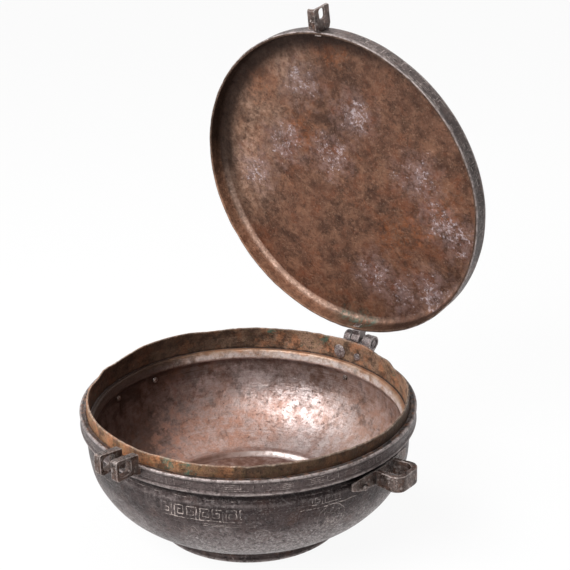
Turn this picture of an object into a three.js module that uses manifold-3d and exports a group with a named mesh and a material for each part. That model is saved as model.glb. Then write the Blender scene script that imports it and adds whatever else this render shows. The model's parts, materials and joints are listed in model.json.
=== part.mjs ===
// Covered bronze bowl with a hinged lid, a hasp and two side handles. Millimetres, +Z up.
// The hasp faces -Y, the hinge is at +Y and the handles are at +X and -X.
import * as THREE from "three";
import { mergeVertices } from "three/addons/utils/BufferGeometryUtils.js";
import Module from "manifold-3d";

const wasm = await Module();
wasm.setup();

// Rim and lid sizes
const BAND_RADIUS = 100;
const LEDGE_HEIGHT = 77.5;
const BAND_HEIGHT = 9.2;
const BAND_RELIEF = 0.4;
const BAND_BORDER = 1.6;
const COLLAR_RISE = 6.8;
const COLLAR_WALL = 1.2;
const COLLAR_SEAT_DEPTH = 8;
const LID_WALL = 1.8;
const LID_HEIGHT = 12;
const LID_CORNER = 3;
const LID_CROWN = 1.2;
const LID_CLEARANCE = 2.4;
const LID_SEAT_GAP = 0.2;
const LID_OPEN_ANGLE = THREE.MathUtils.degToRad(80.4);

// Bowl sizes
const BELLY_INSET = 3.8;
const BELLY_BELOW_LEDGE = 18.5;
const BELLY_SQUARENESS = 2.35;
const BOWL_WALL = 2.2;
const WAIST_DEPTH = 2.3;
const WAIST_DROP = 3.8;
const FOOT_RADIUS = 56.5;
const FOOT_FLARE = 0.6;
const FOOT_WALL = 3;
const FLOOR_CREASE_PAST_FOOT = 2.7;
const FLOOR_EDGE_INSIDE_FOOT = 1;
const FLOOR_STEP = 2.5;

// Hinge sizes
const PIN_RADIUS = 1.5;
const PIN_HEAD_RADIUS = 2.2;
const PIN_HEAD_LENGTH = 0.7;
const PIN_STANDOFF = 7.9;
const PIN_ABOVE_LEDGE = 2.6;
const KNUCKLE_RADIUS = 5;
const HINGE_OFFSET = 5.2;
const LID_KNUCKLE_WIDTH = 6.2;
const LEFT_KNUCKLE_WIDTH = 5.2;
const RIGHT_KNUCKLE_WIDTH = 6.6;
const LEFT_SIDE_PLAY = 0.6;
const RIGHT_SIDE_PLAY = 2.8;
const RUNNING_CLEARANCE = 0.05;
const KNUCKLE_RECESS_RADIUS = 3.6;
const KNUCKLE_RECESS_DEPTH = 0.9;
const LEAF_THICKNESS = 2.4;
const LEAF_DROP = 2.6;

// Hasp sizes
const TONGUE_WIDTH = 5.4;
const TONGUE_WEB = 1.9;
const TONGUE_FLANGE = 2;
const TONGUE_ROOT = 3;
const TONGUE_REACH = 14.6;
const TONGUE_OVERHANG = 3.8;
const TONGUE_HOLE_WIDTH = 5.4;
const TONGUE_HOLE_LENGTH = 6;
const TONGUE_HOLE_REACH = 10.4;
const TONGUE_SIDE_PLAY = 1;
const LUG_THICKNESS = 4.6;
const HASP_OFFSET = -2;
const LUG_REACH = 18.5;
const LUG_TOP_BACK = 8;
const LUG_TOP_RISE = 2.5;
const LUG_FRONT_DROP = 2.4;
const LUG_ROOT_DROP = 5;
const LUG_STANDOFF = 1.4;
const LUG_EYE_LENGTH = 8.8;
const LUG_EYE_HEIGHT = 8;
const LUG_EYE_REACH = 11.8;
const HASP_HOLE_RISE = 3.8;

// Handle sizes
const LOOP_ROOT_HALF_WIDTH = 9.2;
const LOOP_HALF_WIDTH = 11;
const LOOP_REACH = 18.4;
const LOOP_HEIGHT = 9.6;
const LOOP_STRAP = 3;
const LOOP_CORNER = 6.5;
const HANDLE_ABOVE_BELLY = 1.6;
const PLATE_THICKNESS = 1.6;
const PLATE_HALF_LENGTH = 27;
const PLATE_HALF_HEIGHT = 4.6;
const PLATE_TIP_HALF_HEIGHT = 2.9;
const PLATE_TIP_LENGTH = 13;
const PLATE_TIP_CORNER = 1.6;
const PLATE_BLANK_DEPTH = 30;

// Fastening sizes
const TANG_SIZE = 3;
const TANG_DROP = 2.5;
const TANG_CLEARANCE = 0.15;
const TANG_HEAD_HEIGHT = 1.8;
const RIVET_RADIUS = 1.6;
const RIVET_HEAD_RADIUS = 2.2;
const RIVET_HEAD_HEIGHT = 1.3;
const RIVET_FROM_PLATE_END = 9.4;
const RIVET_BELOW_BELLY = 1;
const SEAT_GAP = 0.1;

// Roundness of the turned and curved shapes
const ROUND_STEPS = 60;
const SMALL_ROUND_STEPS = 20;
const DOME_STEPS = 12;
const BELLY_STEPS = 10;
const WAIST_STEPS = 3;
const CORNER_STEPS = 4;

// Sizes that follow from those above
const BAND_BOTTOM = LEDGE_HEIGHT - BAND_HEIGHT;
const WAIST_LEVEL = BAND_BOTTOM - WAIST_DROP;
const BELLY_RADIUS = BAND_RADIUS - BELLY_INSET;
const BELLY_LEVEL = LEDGE_HEIGHT - BELLY_BELOW_LEDGE;
const BELLY_DEPTH = BELLY_LEVEL;
const HANDLE_LEVEL = BELLY_LEVEL + HANDLE_ABOVE_BELLY;
const RIVET_LEVEL = BELLY_LEVEL - RIVET_BELOW_BELLY;
const WAIST_RADIUS = BELLY_RADIUS - WAIST_DEPTH;
const FLOOR_CREASE_RADIUS = FOOT_RADIUS + FLOOR_CREASE_PAST_FOOT;
const FLOOR_EDGE_RADIUS = FOOT_RADIUS - FOOT_WALL - FLOOR_EDGE_INSIDE_FOOT;
const SKIRT_INNER = BAND_RADIUS - LID_WALL;
const COLLAR_OUTER = SKIRT_INNER - LID_CLEARANCE;
const COLLAR_INNER = COLLAR_OUTER - COLLAR_WALL;
const COLLAR_SEAT = LEDGE_HEIGHT - COLLAR_SEAT_DEPTH;
const COLLAR_TOP = LEDGE_HEIGHT + COLLAR_RISE;
const LID_RIM = LEDGE_HEIGHT + LID_SEAT_GAP;
const LID_TOP = LID_RIM + LID_HEIGHT;
const PIN_Y = BAND_RADIUS + PIN_STANDOFF;
const PIN_Z = LEDGE_HEIGHT + PIN_ABOVE_LEDGE;
const LID_KNUCKLE_LEFT = HINGE_OFFSET - LID_KNUCKLE_WIDTH / 2;
const LID_KNUCKLE_RIGHT = HINGE_OFFSET + LID_KNUCKLE_WIDTH / 2;
const LEFT_KNUCKLE_END = LID_KNUCKLE_LEFT - LEFT_SIDE_PLAY - LEFT_KNUCKLE_WIDTH;
const RIGHT_KNUCKLE_END = LID_KNUCKLE_RIGHT + RIGHT_SIDE_PLAY + RIGHT_KNUCKLE_WIDTH;
const TANG_LEVEL = LEDGE_HEIGHT - TANG_DROP;
const PLATE_INNER = BELLY_RADIUS + 0.25;
const PLATE_OUTER = PLATE_INNER + PLATE_THICKNESS;
const HASP_HOLE_LEVEL = LEDGE_HEIGHT + HASP_HOLE_RISE;

// Solids
function solidOf(geometry) {
  const bare = geometry.index ? geometry.toNonIndexed() : geometry.clone();
  bare.deleteAttribute("normal");
  bare.deleteAttribute("uv");
  const merged = mergeVertices(bare, 1e-4);
  const corners = merged.index.array;
  const kept = [];
  for (let i = 0; i < corners.length; i += 3) {
    const [a, b, c] = [corners[i], corners[i + 1], corners[i + 2]];
    if (a !== b && b !== c && c !== a) kept.push(a, b, c);
  }
  return new wasm.Manifold(
    new wasm.Mesh({
      numProp: 3,
      vertProperties: merged.attributes.position.array,
      triVerts: new Uint32Array(kept),
    }),
  );
}

function geometryOf(solid) {
  const mesh = solid.getMesh();
  return new THREE.BufferGeometry()
    .setAttribute("position", new THREE.BufferAttribute(mesh.vertProperties, 3))
    .setIndex(new THREE.BufferAttribute(mesh.triVerts, 1));
}

function joined(...solids) {
  return solids.reduce((sum, next) => sum.add(next));
}

// A profile of [radius, height] pairs turned about the Z axis, listed anticlockwise.
function turned(profile, steps = ROUND_STEPS) {
  const points = profile.map(([r, z]) => new THREE.Vector2(r, z));
  const geometry = new THREE.LatheGeometry(points, steps);
  geometry.rotateX(Math.PI / 2);
  return solidOf(geometry);
}

function closed(profile) {
  return [...profile, profile[0]];
}

function drum(radius, bottom, top, steps = ROUND_STEPS) {
  return turned(
    [
      [0, bottom],
      [radius, bottom],
      [radius, top],
      [0, top],
    ],
    steps,
  );
}

// An outline drawn in Y and Z, swept along X.
function sweptAlongX(shape, from, to) {
  const geometry = new THREE.ExtrudeGeometry(shape, {
    depth: to - from,
    bevelEnabled: false,
    curveSegments: SMALL_ROUND_STEPS / 2,
  });
  const turn = new THREE.Matrix4().makeBasis(
    new THREE.Vector3(0, 1, 0),
    new THREE.Vector3(0, 0, 1),
    new THREE.Vector3(1, 0, 0),
  );
  geometry.applyMatrix4(turn.setPosition(from, 0, 0));
  return solidOf(geometry);
}

function box(xMin, xMax, yMin, yMax, zMin, zMax) {
  const geometry = new THREE.BoxGeometry(xMax - xMin, yMax - yMin, zMax - zMin);
  geometry.translate((xMin + xMax) / 2, (yMin + yMax) / 2, (zMin + zMax) / 2);
  return solidOf(geometry);
}

function rodAlongX(radius, from, to, y, z) {
  const geometry = new THREE.CylinderGeometry(radius, radius, to - from, SMALL_ROUND_STEPS);
  geometry.rotateZ(Math.PI / 2);
  geometry.translate((from + to) / 2, y, z);
  return solidOf(geometry);
}

// Bowl profile curves
function curveHeight(radius, reach, depth) {
  const share = (reach / radius) ** BELLY_SQUARENESS;
  return BELLY_LEVEL - depth * (1 - share) ** (1 / BELLY_SQUARENESS);
}

// The curve from a flat floor of that radius up to the belly's widest level
function bellyCurve(radius, depth, floorRadius) {
  const share = 2 / BELLY_SQUARENESS;
  const start = Math.asin((floorRadius / radius) ** (1 / share));
  const points = [];
  for (let i = 0; i <= BELLY_STEPS; i += 1) {
    const turn = start + (Math.PI / 2 - start) * (i / BELLY_STEPS);
    const height = BELLY_LEVEL - depth * Math.cos(turn) ** share;
    points.push([radius * Math.sin(turn) ** share, height]);
  }
  return points;
}

function waistCurve(radius) {
  const points = [];
  for (let i = 1; i <= WAIST_STEPS; i += 1) {
    const share = i / WAIST_STEPS;
    const pinch = (1 - Math.cos(Math.PI * share)) / 2;
    points.push([
      radius - WAIST_DEPTH * pinch,
      BELLY_LEVEL + (WAIST_LEVEL - BELLY_LEVEL) * share,
    ]);
  }
  return points;
}

function bowlProfile() {
  const relief = BAND_RADIUS - BAND_RELIEF;
  const ridge = WAIST_RADIUS - BOWL_WALL;
  const [innerBelly, innerDepth] = [BELLY_RADIUS - BOWL_WALL, BELLY_DEPTH - BOWL_WALL];
  const floorTop = curveHeight(innerBelly, FLOOR_CREASE_RADIUS, innerDepth);
  const outside = [
    [0, floorTop - BOWL_WALL],
    [FLOOR_EDGE_RADIUS - FLOOR_STEP, floorTop - BOWL_WALL],
    ...bellyCurve(BELLY_RADIUS, BELLY_DEPTH, FLOOR_EDGE_RADIUS),
    ...waistCurve(BELLY_RADIUS),
    [WAIST_RADIUS + 0.6, WAIST_LEVEL + WAIST_DROP * 0.5],
    [BAND_RADIUS - 1.6, BAND_BOTTOM - 0.4],
    [BAND_RADIUS, BAND_BOTTOM + 0.5],
    [BAND_RADIUS, BAND_BOTTOM + BAND_BORDER],
    [relief, BAND_BOTTOM + BAND_BORDER + BAND_RELIEF],
    [relief, LEDGE_HEIGHT - BAND_BORDER - BAND_RELIEF],
    [BAND_RADIUS, LEDGE_HEIGHT - BAND_BORDER],
    [BAND_RADIUS, LEDGE_HEIGHT - 0.4],
    [BAND_RADIUS - 0.4, LEDGE_HEIGHT],
  ];
  const bore = COLLAR_OUTER + SEAT_GAP;
  const inside = [
    [bore, LEDGE_HEIGHT],
    [bore, COLLAR_SEAT],
    [ridge + 0.9, COLLAR_SEAT],
    [ridge + 0.2, COLLAR_SEAT - 0.9],
    ...waistCurve(BELLY_RADIUS - BOWL_WALL).reverse(),
    ...bellyCurve(innerBelly, innerDepth, FLOOR_CREASE_RADIUS).reverse(),
    [0, floorTop],
  ];
  return [...outside, ...inside];
}

// Holes through the wall
function tangHole(x, side, level) {
  const half = TANG_SIZE / 2 + TANG_CLEARANCE;
  const reach = [COLLAR_INNER - 6, BAND_RADIUS + 6];
  const y = side > 0 ? reach : [-reach[1], -reach[0]];
  return box(x - half, x + half, y[0], y[1], level - half, level + half);
}

function radialRod(radius, from, to, angle, level) {
  const geometry = new THREE.CylinderGeometry(radius, radius, to - from, SMALL_ROUND_STEPS);
  geometry.rotateZ(Math.PI / 2);
  geometry.translate((from + to) / 2, 0, level);
  geometry.rotateZ(angle);
  return solidOf(geometry);
}

const RIVET_ANGLE = Math.asin((PLATE_HALF_LENGTH - RIVET_FROM_PLATE_END) / BELLY_RADIUS);
const HINGE_RIVET_ANGLE = Math.PI / 2 - Math.asin(HINGE_OFFSET / BELLY_RADIUS);
const HANDLE_SIDES = [
  { side: "right", angle: 0 },
  { side: "left", angle: Math.PI },
];

const LEFT_TANG_X = LID_KNUCKLE_LEFT - LEFT_SIDE_PLAY - TANG_SIZE / 2 - TANG_CLEARANCE;
const RIGHT_TANG_X = LID_KNUCKLE_RIGHT + RIGHT_SIDE_PLAY + RIGHT_KNUCKLE_WIDTH / 2;
const LUG_X = TONGUE_WIDTH / 2 + TONGUE_SIDE_PLAY + LUG_THICKNESS / 2;

function allTangHoles() {
  return joined(
    tangHole(LEFT_TANG_X, 1, TANG_LEVEL),
    tangHole(RIGHT_TANG_X, 1, TANG_LEVEL),
    tangHole(HASP_OFFSET - LUG_X, -1, TANG_LEVEL),
    tangHole(HASP_OFFSET + LUG_X, -1, TANG_LEVEL),
  );
}

function rivetHole(angle, level) {
  const radius = RIVET_RADIUS + TANG_CLEARANCE;
  return radialRod(radius, BELLY_RADIUS - 8, BELLY_RADIUS + 8, angle, level);
}

// Bowl, foot and collar
function bowlShell() {
  let shell = turned(bowlProfile()).subtract(allTangHoles());
  for (const { angle } of HANDLE_SIDES) {
    shell = shell
      .subtract(rivetHole(angle + RIVET_ANGLE, RIVET_LEVEL))
      .subtract(rivetHole(angle - RIVET_ANGLE, RIVET_LEVEL));
  }
  return shell.subtract(rivetHole(HINGE_RIVET_ANGLE, RIVET_LEVEL));
}

function bellyHeight(radius) {
  return curveHeight(BELLY_RADIUS, radius, BELLY_DEPTH);
}

function footRing() {
  const inner = FOOT_RADIUS - FOOT_WALL;
  return turned(
    closed([
      [inner, 0],
      [FOOT_RADIUS + FOOT_FLARE - 0.4, 0],
      [FOOT_RADIUS + FOOT_FLARE, 0.4],
      [FOOT_RADIUS + FOOT_FLARE, 1.6],
      [FOOT_RADIUS + 0.2, 3.2],
      [FOOT_RADIUS, bellyHeight(FOOT_RADIUS) - SEAT_GAP],
      [inner, bellyHeight(inner) - SEAT_GAP],
    ]),
  );
}

function rimCollar() {
  const ring = turned(
    closed([
      [COLLAR_INNER, COLLAR_SEAT],
      [COLLAR_OUTER, COLLAR_SEAT],
      [COLLAR_OUTER, COLLAR_TOP - 0.3],
      [COLLAR_OUTER - 0.3, COLLAR_TOP],
      [COLLAR_INNER + 0.3, COLLAR_TOP],
      [COLLAR_INNER, COLLAR_TOP - 0.3],
    ]),
  );
  return ring.subtract(allTangHoles());
}

// A square tang through the wall with its end hammered over on the inside.
function tangAndHead(x, side, headWidth, headHeight) {
  const half = TANG_SIZE / 2;
  const onWall = Math.sqrt(COLLAR_INNER ** 2 - x ** 2);
  const yOut = BAND_RADIUS + 1;
  const yIn = onWall - 1;
  const y = side > 0 ? [yIn, yOut] : [-yOut, -yIn];
  const tang = box(x - half, x + half, y[0], y[1], TANG_LEVEL - half, TANG_LEVEL + half);
  const dome = new THREE.SphereGeometry(1, DOME_STEPS, DOME_STEPS / 2);
  dome.scale(headWidth / 2, TANG_HEAD_HEIGHT, headHeight / 2);
  dome.translate(x, side * onWall, TANG_LEVEL);
  const insideBowl = drum(COLLAR_INNER - SEAT_GAP, BELLY_LEVEL, COLLAR_TOP + 5);
  return tang.add(solidOf(dome).intersect(insideBowl));
}

function cutByBand(solid) {
  const band = drum(BAND_RADIUS + SEAT_GAP, BELLY_LEVEL, LEDGE_HEIGHT + 1);
  return solid.subtract(band);
}

// Hinge
function bowlKnuckle(from, to, tangX, headWidth, headHeight) {
  const low = -0.45;
  const legBottom = BAND_BOTTOM + 1.8;
  const shape = new THREE.Shape();
  shape.moveTo(BAND_RADIUS - 2, LEDGE_HEIGHT - 0.5);
  shape.lineTo(BAND_RADIUS - 2, legBottom);
  shape.lineTo(BAND_RADIUS + 2.4, legBottom - 0.6);
  shape.lineTo(PIN_Y + KNUCKLE_RADIUS * Math.cos(low), PIN_Z + KNUCKLE_RADIUS * Math.sin(low));
  shape.absarc(PIN_Y, PIN_Z, KNUCKLE_RADIUS, low, Math.PI, false);
  shape.lineTo(BAND_RADIUS + 1.2, LEDGE_HEIGHT - 0.5);
  shape.closePath();
  const bore = rodAlongX(PIN_RADIUS + RUNNING_CLEARANCE / 2, from - 1, to + 1, PIN_Y, PIN_Z);
  const body = cutByBand(sweptAlongX(shape, from, to)).subtract(bore);
  return body.add(tangAndHead(tangX, 1, headWidth, headHeight));
}

// A shallow round recess in the outer end of a knuckle, round the head of the pin.
function recessed(knuckle, end) {
  const depth = KNUCKLE_RECESS_DEPTH;
  return knuckle.subtract(rodAlongX(KNUCKLE_RECESS_RADIUS, end - depth, end + depth, PIN_Y, PIN_Z));
}

function hingePin() {
  const from = LEFT_KNUCKLE_END - SEAT_GAP;
  const to = RIGHT_KNUCKLE_END - KNUCKLE_RECESS_DEPTH + SEAT_GAP;
  const pin = turned(
    [
      [0, from - PIN_HEAD_LENGTH],
      [PIN_HEAD_RADIUS - 0.5, from - PIN_HEAD_LENGTH],
      [PIN_HEAD_RADIUS, from - 0.2],
      [PIN_HEAD_RADIUS, from],
      [PIN_RADIUS, from],
      [PIN_RADIUS, to],
      [PIN_HEAD_RADIUS, to],
      [PIN_HEAD_RADIUS, to + 0.2],
      [PIN_HEAD_RADIUS - 0.5, to + PIN_HEAD_LENGTH],
      [0, to + PIN_HEAD_LENGTH],
    ],
    SMALL_ROUND_STEPS,
  );
  const geometry = geometryOf(pin);
  geometry.rotateY(Math.PI / 2);
  geometry.translate(0, PIN_Y, PIN_Z);
  return solidOf(geometry);
}

// The lid's pieces are drawn with the lid closed.
function lidTangHole(side, x, level) {
  const half = TANG_SIZE / 2 + TANG_CLEARANCE;
  const y = side > 0 ? [SKIRT_INNER - 4, BAND_RADIUS + 4] : [-BAND_RADIUS - 4, -SKIRT_INNER + 4];
  return box(x - half, x + half, y[0], y[1], level - half, level + half);
}

const LID_TANG_LEVEL = LID_RIM + 3;

function lidTangAndHead(side, x) {
  const half = TANG_SIZE / 2;
  const headHalf = TANG_SIZE / 2 + 0.8;
  const out = BAND_RADIUS + 1;
  const inner = SKIRT_INNER - 1;
  const y = side > 0 ? [inner, out] : [-out, -inner];
  const headY = side > 0 ? [inner, SKIRT_INNER + 1] : [-SKIRT_INNER - 1, -inner];
  const z = LID_TANG_LEVEL;
  const tang = box(x - half, x + half, y[0], y[1], z - half, z + half);
  const head = box(x - headHalf, x + headHalf, headY[0], headY[1], z - headHalf, z + headHalf);
  return tang.add(head.intersect(drum(SKIRT_INNER - SEAT_GAP, LID_RIM - 2, LID_TOP)));
}

function cutByLid(solid) {
  return solid.subtract(drum(BAND_RADIUS + SEAT_GAP, BELLY_LEVEL, LID_TOP + 5));
}

function lidPan() {
  const corner = [];
  const innerCorner = [];
  const innerRadius = LID_CORNER - LID_WALL;
  for (let i = 0; i <= CORNER_STEPS; i += 1) {
    const turn = (Math.PI / 2) * (i / CORNER_STEPS);
    const across = BAND_RADIUS - LID_CORNER;
    const up = LID_TOP - LID_CORNER;
    corner.push([across + LID_CORNER * Math.cos(turn), up + LID_CORNER * Math.sin(turn)]);
    innerCorner.push([across + innerRadius * Math.cos(turn), up + innerRadius * Math.sin(turn)]);
  }
  const crownAt = (share) => LID_CROWN * (1 - share ** 2);
  const flat = BAND_RADIUS - LID_CORNER;
  const top = [0.67, 0.33, 0].map((s) => [flat * s, LID_TOP + crownAt(s)]);
  const under = [0, 0.33, 0.67].map((s) => [flat * s, LID_TOP - LID_WALL + crownAt(s)]);
  const relief = BAND_RADIUS - BAND_RELIEF / 2;
  const pan = turned([
    ...under,
    ...innerCorner.reverse(),
    [SKIRT_INNER, LID_RIM + 0.3],
    [SKIRT_INNER + 0.3, LID_RIM],
    [BAND_RADIUS - 0.3, LID_RIM],
    [BAND_RADIUS, LID_RIM + 0.3],
    [BAND_RADIUS, LID_RIM + 1.2],
    [relief, LID_RIM + 1.5],
    [relief, LID_TOP - LID_CORNER - 0.3],
    ...corner,
    ...top,
  ]);
  return pan
    .subtract(lidTangHole(1, HINGE_OFFSET, LID_TANG_LEVEL))
    .subtract(lidTangHole(-1, HASP_OFFSET, LID_TANG_LEVEL));
}

function lidKnuckle() {
  const low = Math.PI * 1.14;
  const high = Math.PI * 2.66;
  const leafTop = LID_TOP - LEAF_DROP;
  const shape = new THREE.Shape();
  shape.moveTo(BAND_RADIUS - 2, LID_RIM + 0.4);
  shape.lineTo(PIN_Y + KNUCKLE_RADIUS * Math.cos(low), PIN_Z + KNUCKLE_RADIUS * Math.sin(low));
  shape.absarc(PIN_Y, PIN_Z, KNUCKLE_RADIUS, low, high, false);
  shape.lineTo(BAND_RADIUS + LEAF_THICKNESS, leafTop);
  shape.lineTo(BAND_RADIUS - 2, leafTop);
  shape.closePath();
  const from = LID_KNUCKLE_LEFT;
  const to = LID_KNUCKLE_RIGHT;
  const bore = rodAlongX(PIN_RADIUS + RUNNING_CLEARANCE, from - 1, to + 1, PIN_Y, PIN_Z);
  const body = cutByLid(sweptAlongX(shape, from, to)).subtract(bore);
  return body.add(lidTangAndHead(1, HINGE_OFFSET));
}

// Hasp: a round-cornered eye is cut through the tongue and through both lugs.
function haspEye(from, to, reach, length, height, corner) {
  const middle = -BAND_RADIUS - reach;
  const [near, far] = [middle + length / 2, middle - length / 2];
  const [low, high] = [HASP_HOLE_LEVEL - height / 2, HASP_HOLE_LEVEL + height / 2];
  const shape = new THREE.Shape();
  shape.moveTo(far + corner, low);
  shape.lineTo(near - corner, low);
  shape.absarc(near - corner, low + corner, corner, -Math.PI / 2, 0, false);
  shape.absarc(near - corner, high - corner, corner, 0, Math.PI / 2, false);
  shape.absarc(far + corner, high - corner, corner, Math.PI / 2, Math.PI, false);
  shape.absarc(far + corner, low + corner, corner, Math.PI, Math.PI * 1.5, false);
  return sweptAlongX(shape, from - 1, to + 1);
}

// An angle piece: an upright web with the eye, and a flange along its lower edge.
function haspTongue() {
  const front = -BAND_RADIUS - TONGUE_REACH;
  const bottom = LID_RIM - TONGUE_OVERHANG;
  const top = LID_TOP - 0.8;
  const shape = new THREE.Shape();
  shape.moveTo(-BAND_RADIUS + 2, top - 2.4);
  shape.lineTo(-BAND_RADIUS - 3, top);
  shape.lineTo(front + 1, top);
  shape.lineTo(front, top - 1);
  shape.lineTo(front, bottom + 1);
  shape.lineTo(front + 1, bottom);
  shape.lineTo(-BAND_RADIUS - 2.4, bottom);
  shape.lineTo(-BAND_RADIUS - 1, LID_RIM + 0.4);
  shape.lineTo(-BAND_RADIUS + 2, LID_RIM + 0.4);
  shape.closePath();
  const from = HASP_OFFSET - TONGUE_WIDTH / 2;
  const to = HASP_OFFSET + TONGUE_WIDTH / 2;
  const hollow = box(
    from - 1,
    to - TONGUE_WEB,
    front - 1,
    -BAND_RADIUS - TONGUE_ROOT,
    bottom + TONGUE_FLANGE,
    top + 1,
  );
  const eye = haspEye(
    to - TONGUE_WEB,
    to,
    TONGUE_HOLE_REACH,
    TONGUE_HOLE_LENGTH,
    TONGUE_HOLE_WIDTH,
    TONGUE_HOLE_WIDTH * 0.3,
  );
  const body = cutByLid(sweptAlongX(shape, from, to)).subtract(hollow).subtract(eye);
  return body.add(lidTangAndHead(-1, HASP_OFFSET));
}

function haspLug(x) {
  const front = -BAND_RADIUS - LUG_REACH;
  const back = -BAND_RADIUS - LUG_STANDOFF;
  const top = LEDGE_HEIGHT + LUG_TOP_BACK;
  const frontBottom = LEDGE_HEIGHT - LUG_FRONT_DROP;
  const rootBottom = LEDGE_HEIGHT - LUG_ROOT_DROP;
  const shape = new THREE.Shape();
  shape.moveTo(-BAND_RADIUS + 2, LEDGE_HEIGHT - 0.6);
  shape.lineTo(back, LEDGE_HEIGHT - 0.6);
  shape.lineTo(back, top);
  shape.lineTo(front + 0.8, top + LUG_TOP_RISE);
  shape.lineTo(front, top + LUG_TOP_RISE - 0.8);
  shape.lineTo(front, frontBottom + 3);
  shape.quadraticCurveTo(front, frontBottom, front + 3, frontBottom);
  shape.lineTo(back - 4, frontBottom - 0.4);
  shape.quadraticCurveTo(back - 1, rootBottom, -BAND_RADIUS + 2, rootBottom);
  shape.closePath();
  const from = x - LUG_THICKNESS / 2;
  const to = x + LUG_THICKNESS / 2;
  const corner = LUG_EYE_HEIGHT / 3;
  const eye = haspEye(from, to, LUG_EYE_REACH, LUG_EYE_LENGTH, LUG_EYE_HEIGHT, corner);
  const body = cutByBand(sweptAlongX(shape, from, to)).subtract(eye);
  return body.add(tangAndHead(x, -1, TANG_SIZE * 1.9, TANG_SIZE * 2.1));
}

// Handles, drawn at +X and turned round for the other side
function loopOutline(rootHalf, half, reach, corner) {
  const back = PLATE_OUTER - 4;
  const shape = new THREE.Shape();
  shape.moveTo(back, -rootHalf);
  shape.lineTo(reach - corner, -half);
  shape.absarc(reach - corner, -half + corner, corner, -Math.PI / 2, 0, false);
  shape.absarc(reach - corner, half - corner, corner, 0, Math.PI / 2, false);
  shape.lineTo(back, rootHalf);
  shape.closePath();
  return shape;
}

function uprightBlock(shape, bottom, height) {
  const settings = { depth: height, bevelEnabled: false, curveSegments: 8 };
  return solidOf(new THREE.ExtrudeGeometry(shape, settings).translate(0, 0, bottom));
}

function handleLoop() {
  const reach = BELLY_RADIUS + LOOP_REACH;
  const bottom = HANDLE_LEVEL - LOOP_HEIGHT / 2;
  const outer = loopOutline(LOOP_ROOT_HALF_WIDTH, LOOP_HALF_WIDTH, reach, LOOP_CORNER);
  const inner = loopOutline(
    LOOP_ROOT_HALF_WIDTH - LOOP_STRAP,
    LOOP_HALF_WIDTH - LOOP_STRAP,
    reach - LOOP_STRAP,
    LOOP_CORNER - LOOP_STRAP / 2,
  );
  const plateRoom = drum(PLATE_OUTER + SEAT_GAP, bottom - 5, bottom + LOOP_HEIGHT + 5);
  return uprightBlock(outer, bottom, LOOP_HEIGHT)
    .subtract(uprightBlock(inner, bottom - 1, LOOP_HEIGHT + 2))
    .subtract(plateRoom);
}

function plateOutline() {
  const [end, tip] = [PLATE_HALF_LENGTH, PLATE_TIP_HALF_HEIGHT];
  const [straight, half] = [end - PLATE_TIP_LENGTH, PLATE_HALF_HEIGHT];
  const shape = new THREE.Shape();
  shape.moveTo(-straight, -half);
  for (const side of [1, -1]) {
    const taper = side * (end - PLATE_TIP_LENGTH / 2);
    const corner = side * (end - PLATE_TIP_CORNER);
    shape.lineTo(side * straight, -side * half);
    shape.quadraticCurveTo(taper, -side * half, corner, -side * tip);
    shape.quadraticCurveTo(side * end, -side * tip, side * end, side * (PLATE_TIP_CORNER - tip));
    shape.lineTo(side * end, side * (tip - PLATE_TIP_CORNER));
    shape.quadraticCurveTo(side * end, side * tip, corner, side * tip);
    shape.quadraticCurveTo(taper, side * half, side * straight, side * half);
  }
  return shape;
}

function handlePlate() {
  const blank = new THREE.ExtrudeGeometry(plateOutline(), {
    depth: PLATE_BLANK_DEPTH,
    bevelEnabled: false,
    curveSegments: 3,
  });
  blank.applyMatrix4(
    new THREE.Matrix4()
      .makeBasis(
        new THREE.Vector3(0, 1, 0),
        new THREE.Vector3(0, 0, 1),
        new THREE.Vector3(1, 0, 0),
      )
      .setPosition(PLATE_OUTER - PLATE_BLANK_DEPTH / 2, 0, HANDLE_LEVEL),
  );
  const bottom = HANDLE_LEVEL - PLATE_HALF_LENGTH;
  const top = HANDLE_LEVEL + PLATE_HALF_LENGTH;
  return solidOf(blank)
    .intersect(drum(PLATE_OUTER, bottom, top))
    .subtract(drum(PLATE_INNER, bottom - 1, top + 1))
    .subtract(rivetHole(RIVET_ANGLE, RIVET_LEVEL))
    .subtract(rivetHole(-RIVET_ANGLE, RIVET_LEVEL));
}

// A rivet whose shank runs along X from the inner head to the outer head.
function rivet(outerSeat, angle, level) {
  const innerSeat = BELLY_RADIUS - BOWL_WALL - 5 * SEAT_GAP;
  const body = turned(
    [
      [0, innerSeat - RIVET_HEAD_HEIGHT],
      [RIVET_HEAD_RADIUS * 0.6, innerSeat - RIVET_HEAD_HEIGHT * 0.85],
      [RIVET_HEAD_RADIUS, innerSeat - 0.2],
      [RIVET_HEAD_RADIUS, innerSeat],
      [RIVET_RADIUS, innerSeat],
      [RIVET_RADIUS, outerSeat],
      [RIVET_HEAD_RADIUS, outerSeat],
      [RIVET_HEAD_RADIUS, outerSeat + 0.2],
      [RIVET_HEAD_RADIUS * 0.6, outerSeat + RIVET_HEAD_HEIGHT * 0.85],
      [0, outerSeat + RIVET_HEAD_HEIGHT],
    ],
    SMALL_ROUND_STEPS / 2,
  );
  const geometry = geometryOf(body);
  geometry.rotateY(Math.PI / 2);
  geometry.translate(0, 0, level);
  geometry.rotateZ(angle);
  return geometry;
}

// Finishes
const FINISHES = {
  darkBronze: { color: "#4a4143", roughness: 0.5, metalness: 0.9 },
  copperyBronze: { color: "#8a5c3f", roughness: 0.6, metalness: 0.85 },
  lidBronze: { color: "#6b4d3f", roughness: 0.6, metalness: 0.85 },
  wornBronze: { color: "#8b8082", roughness: 0.42, metalness: 0.95 },
};

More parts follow.
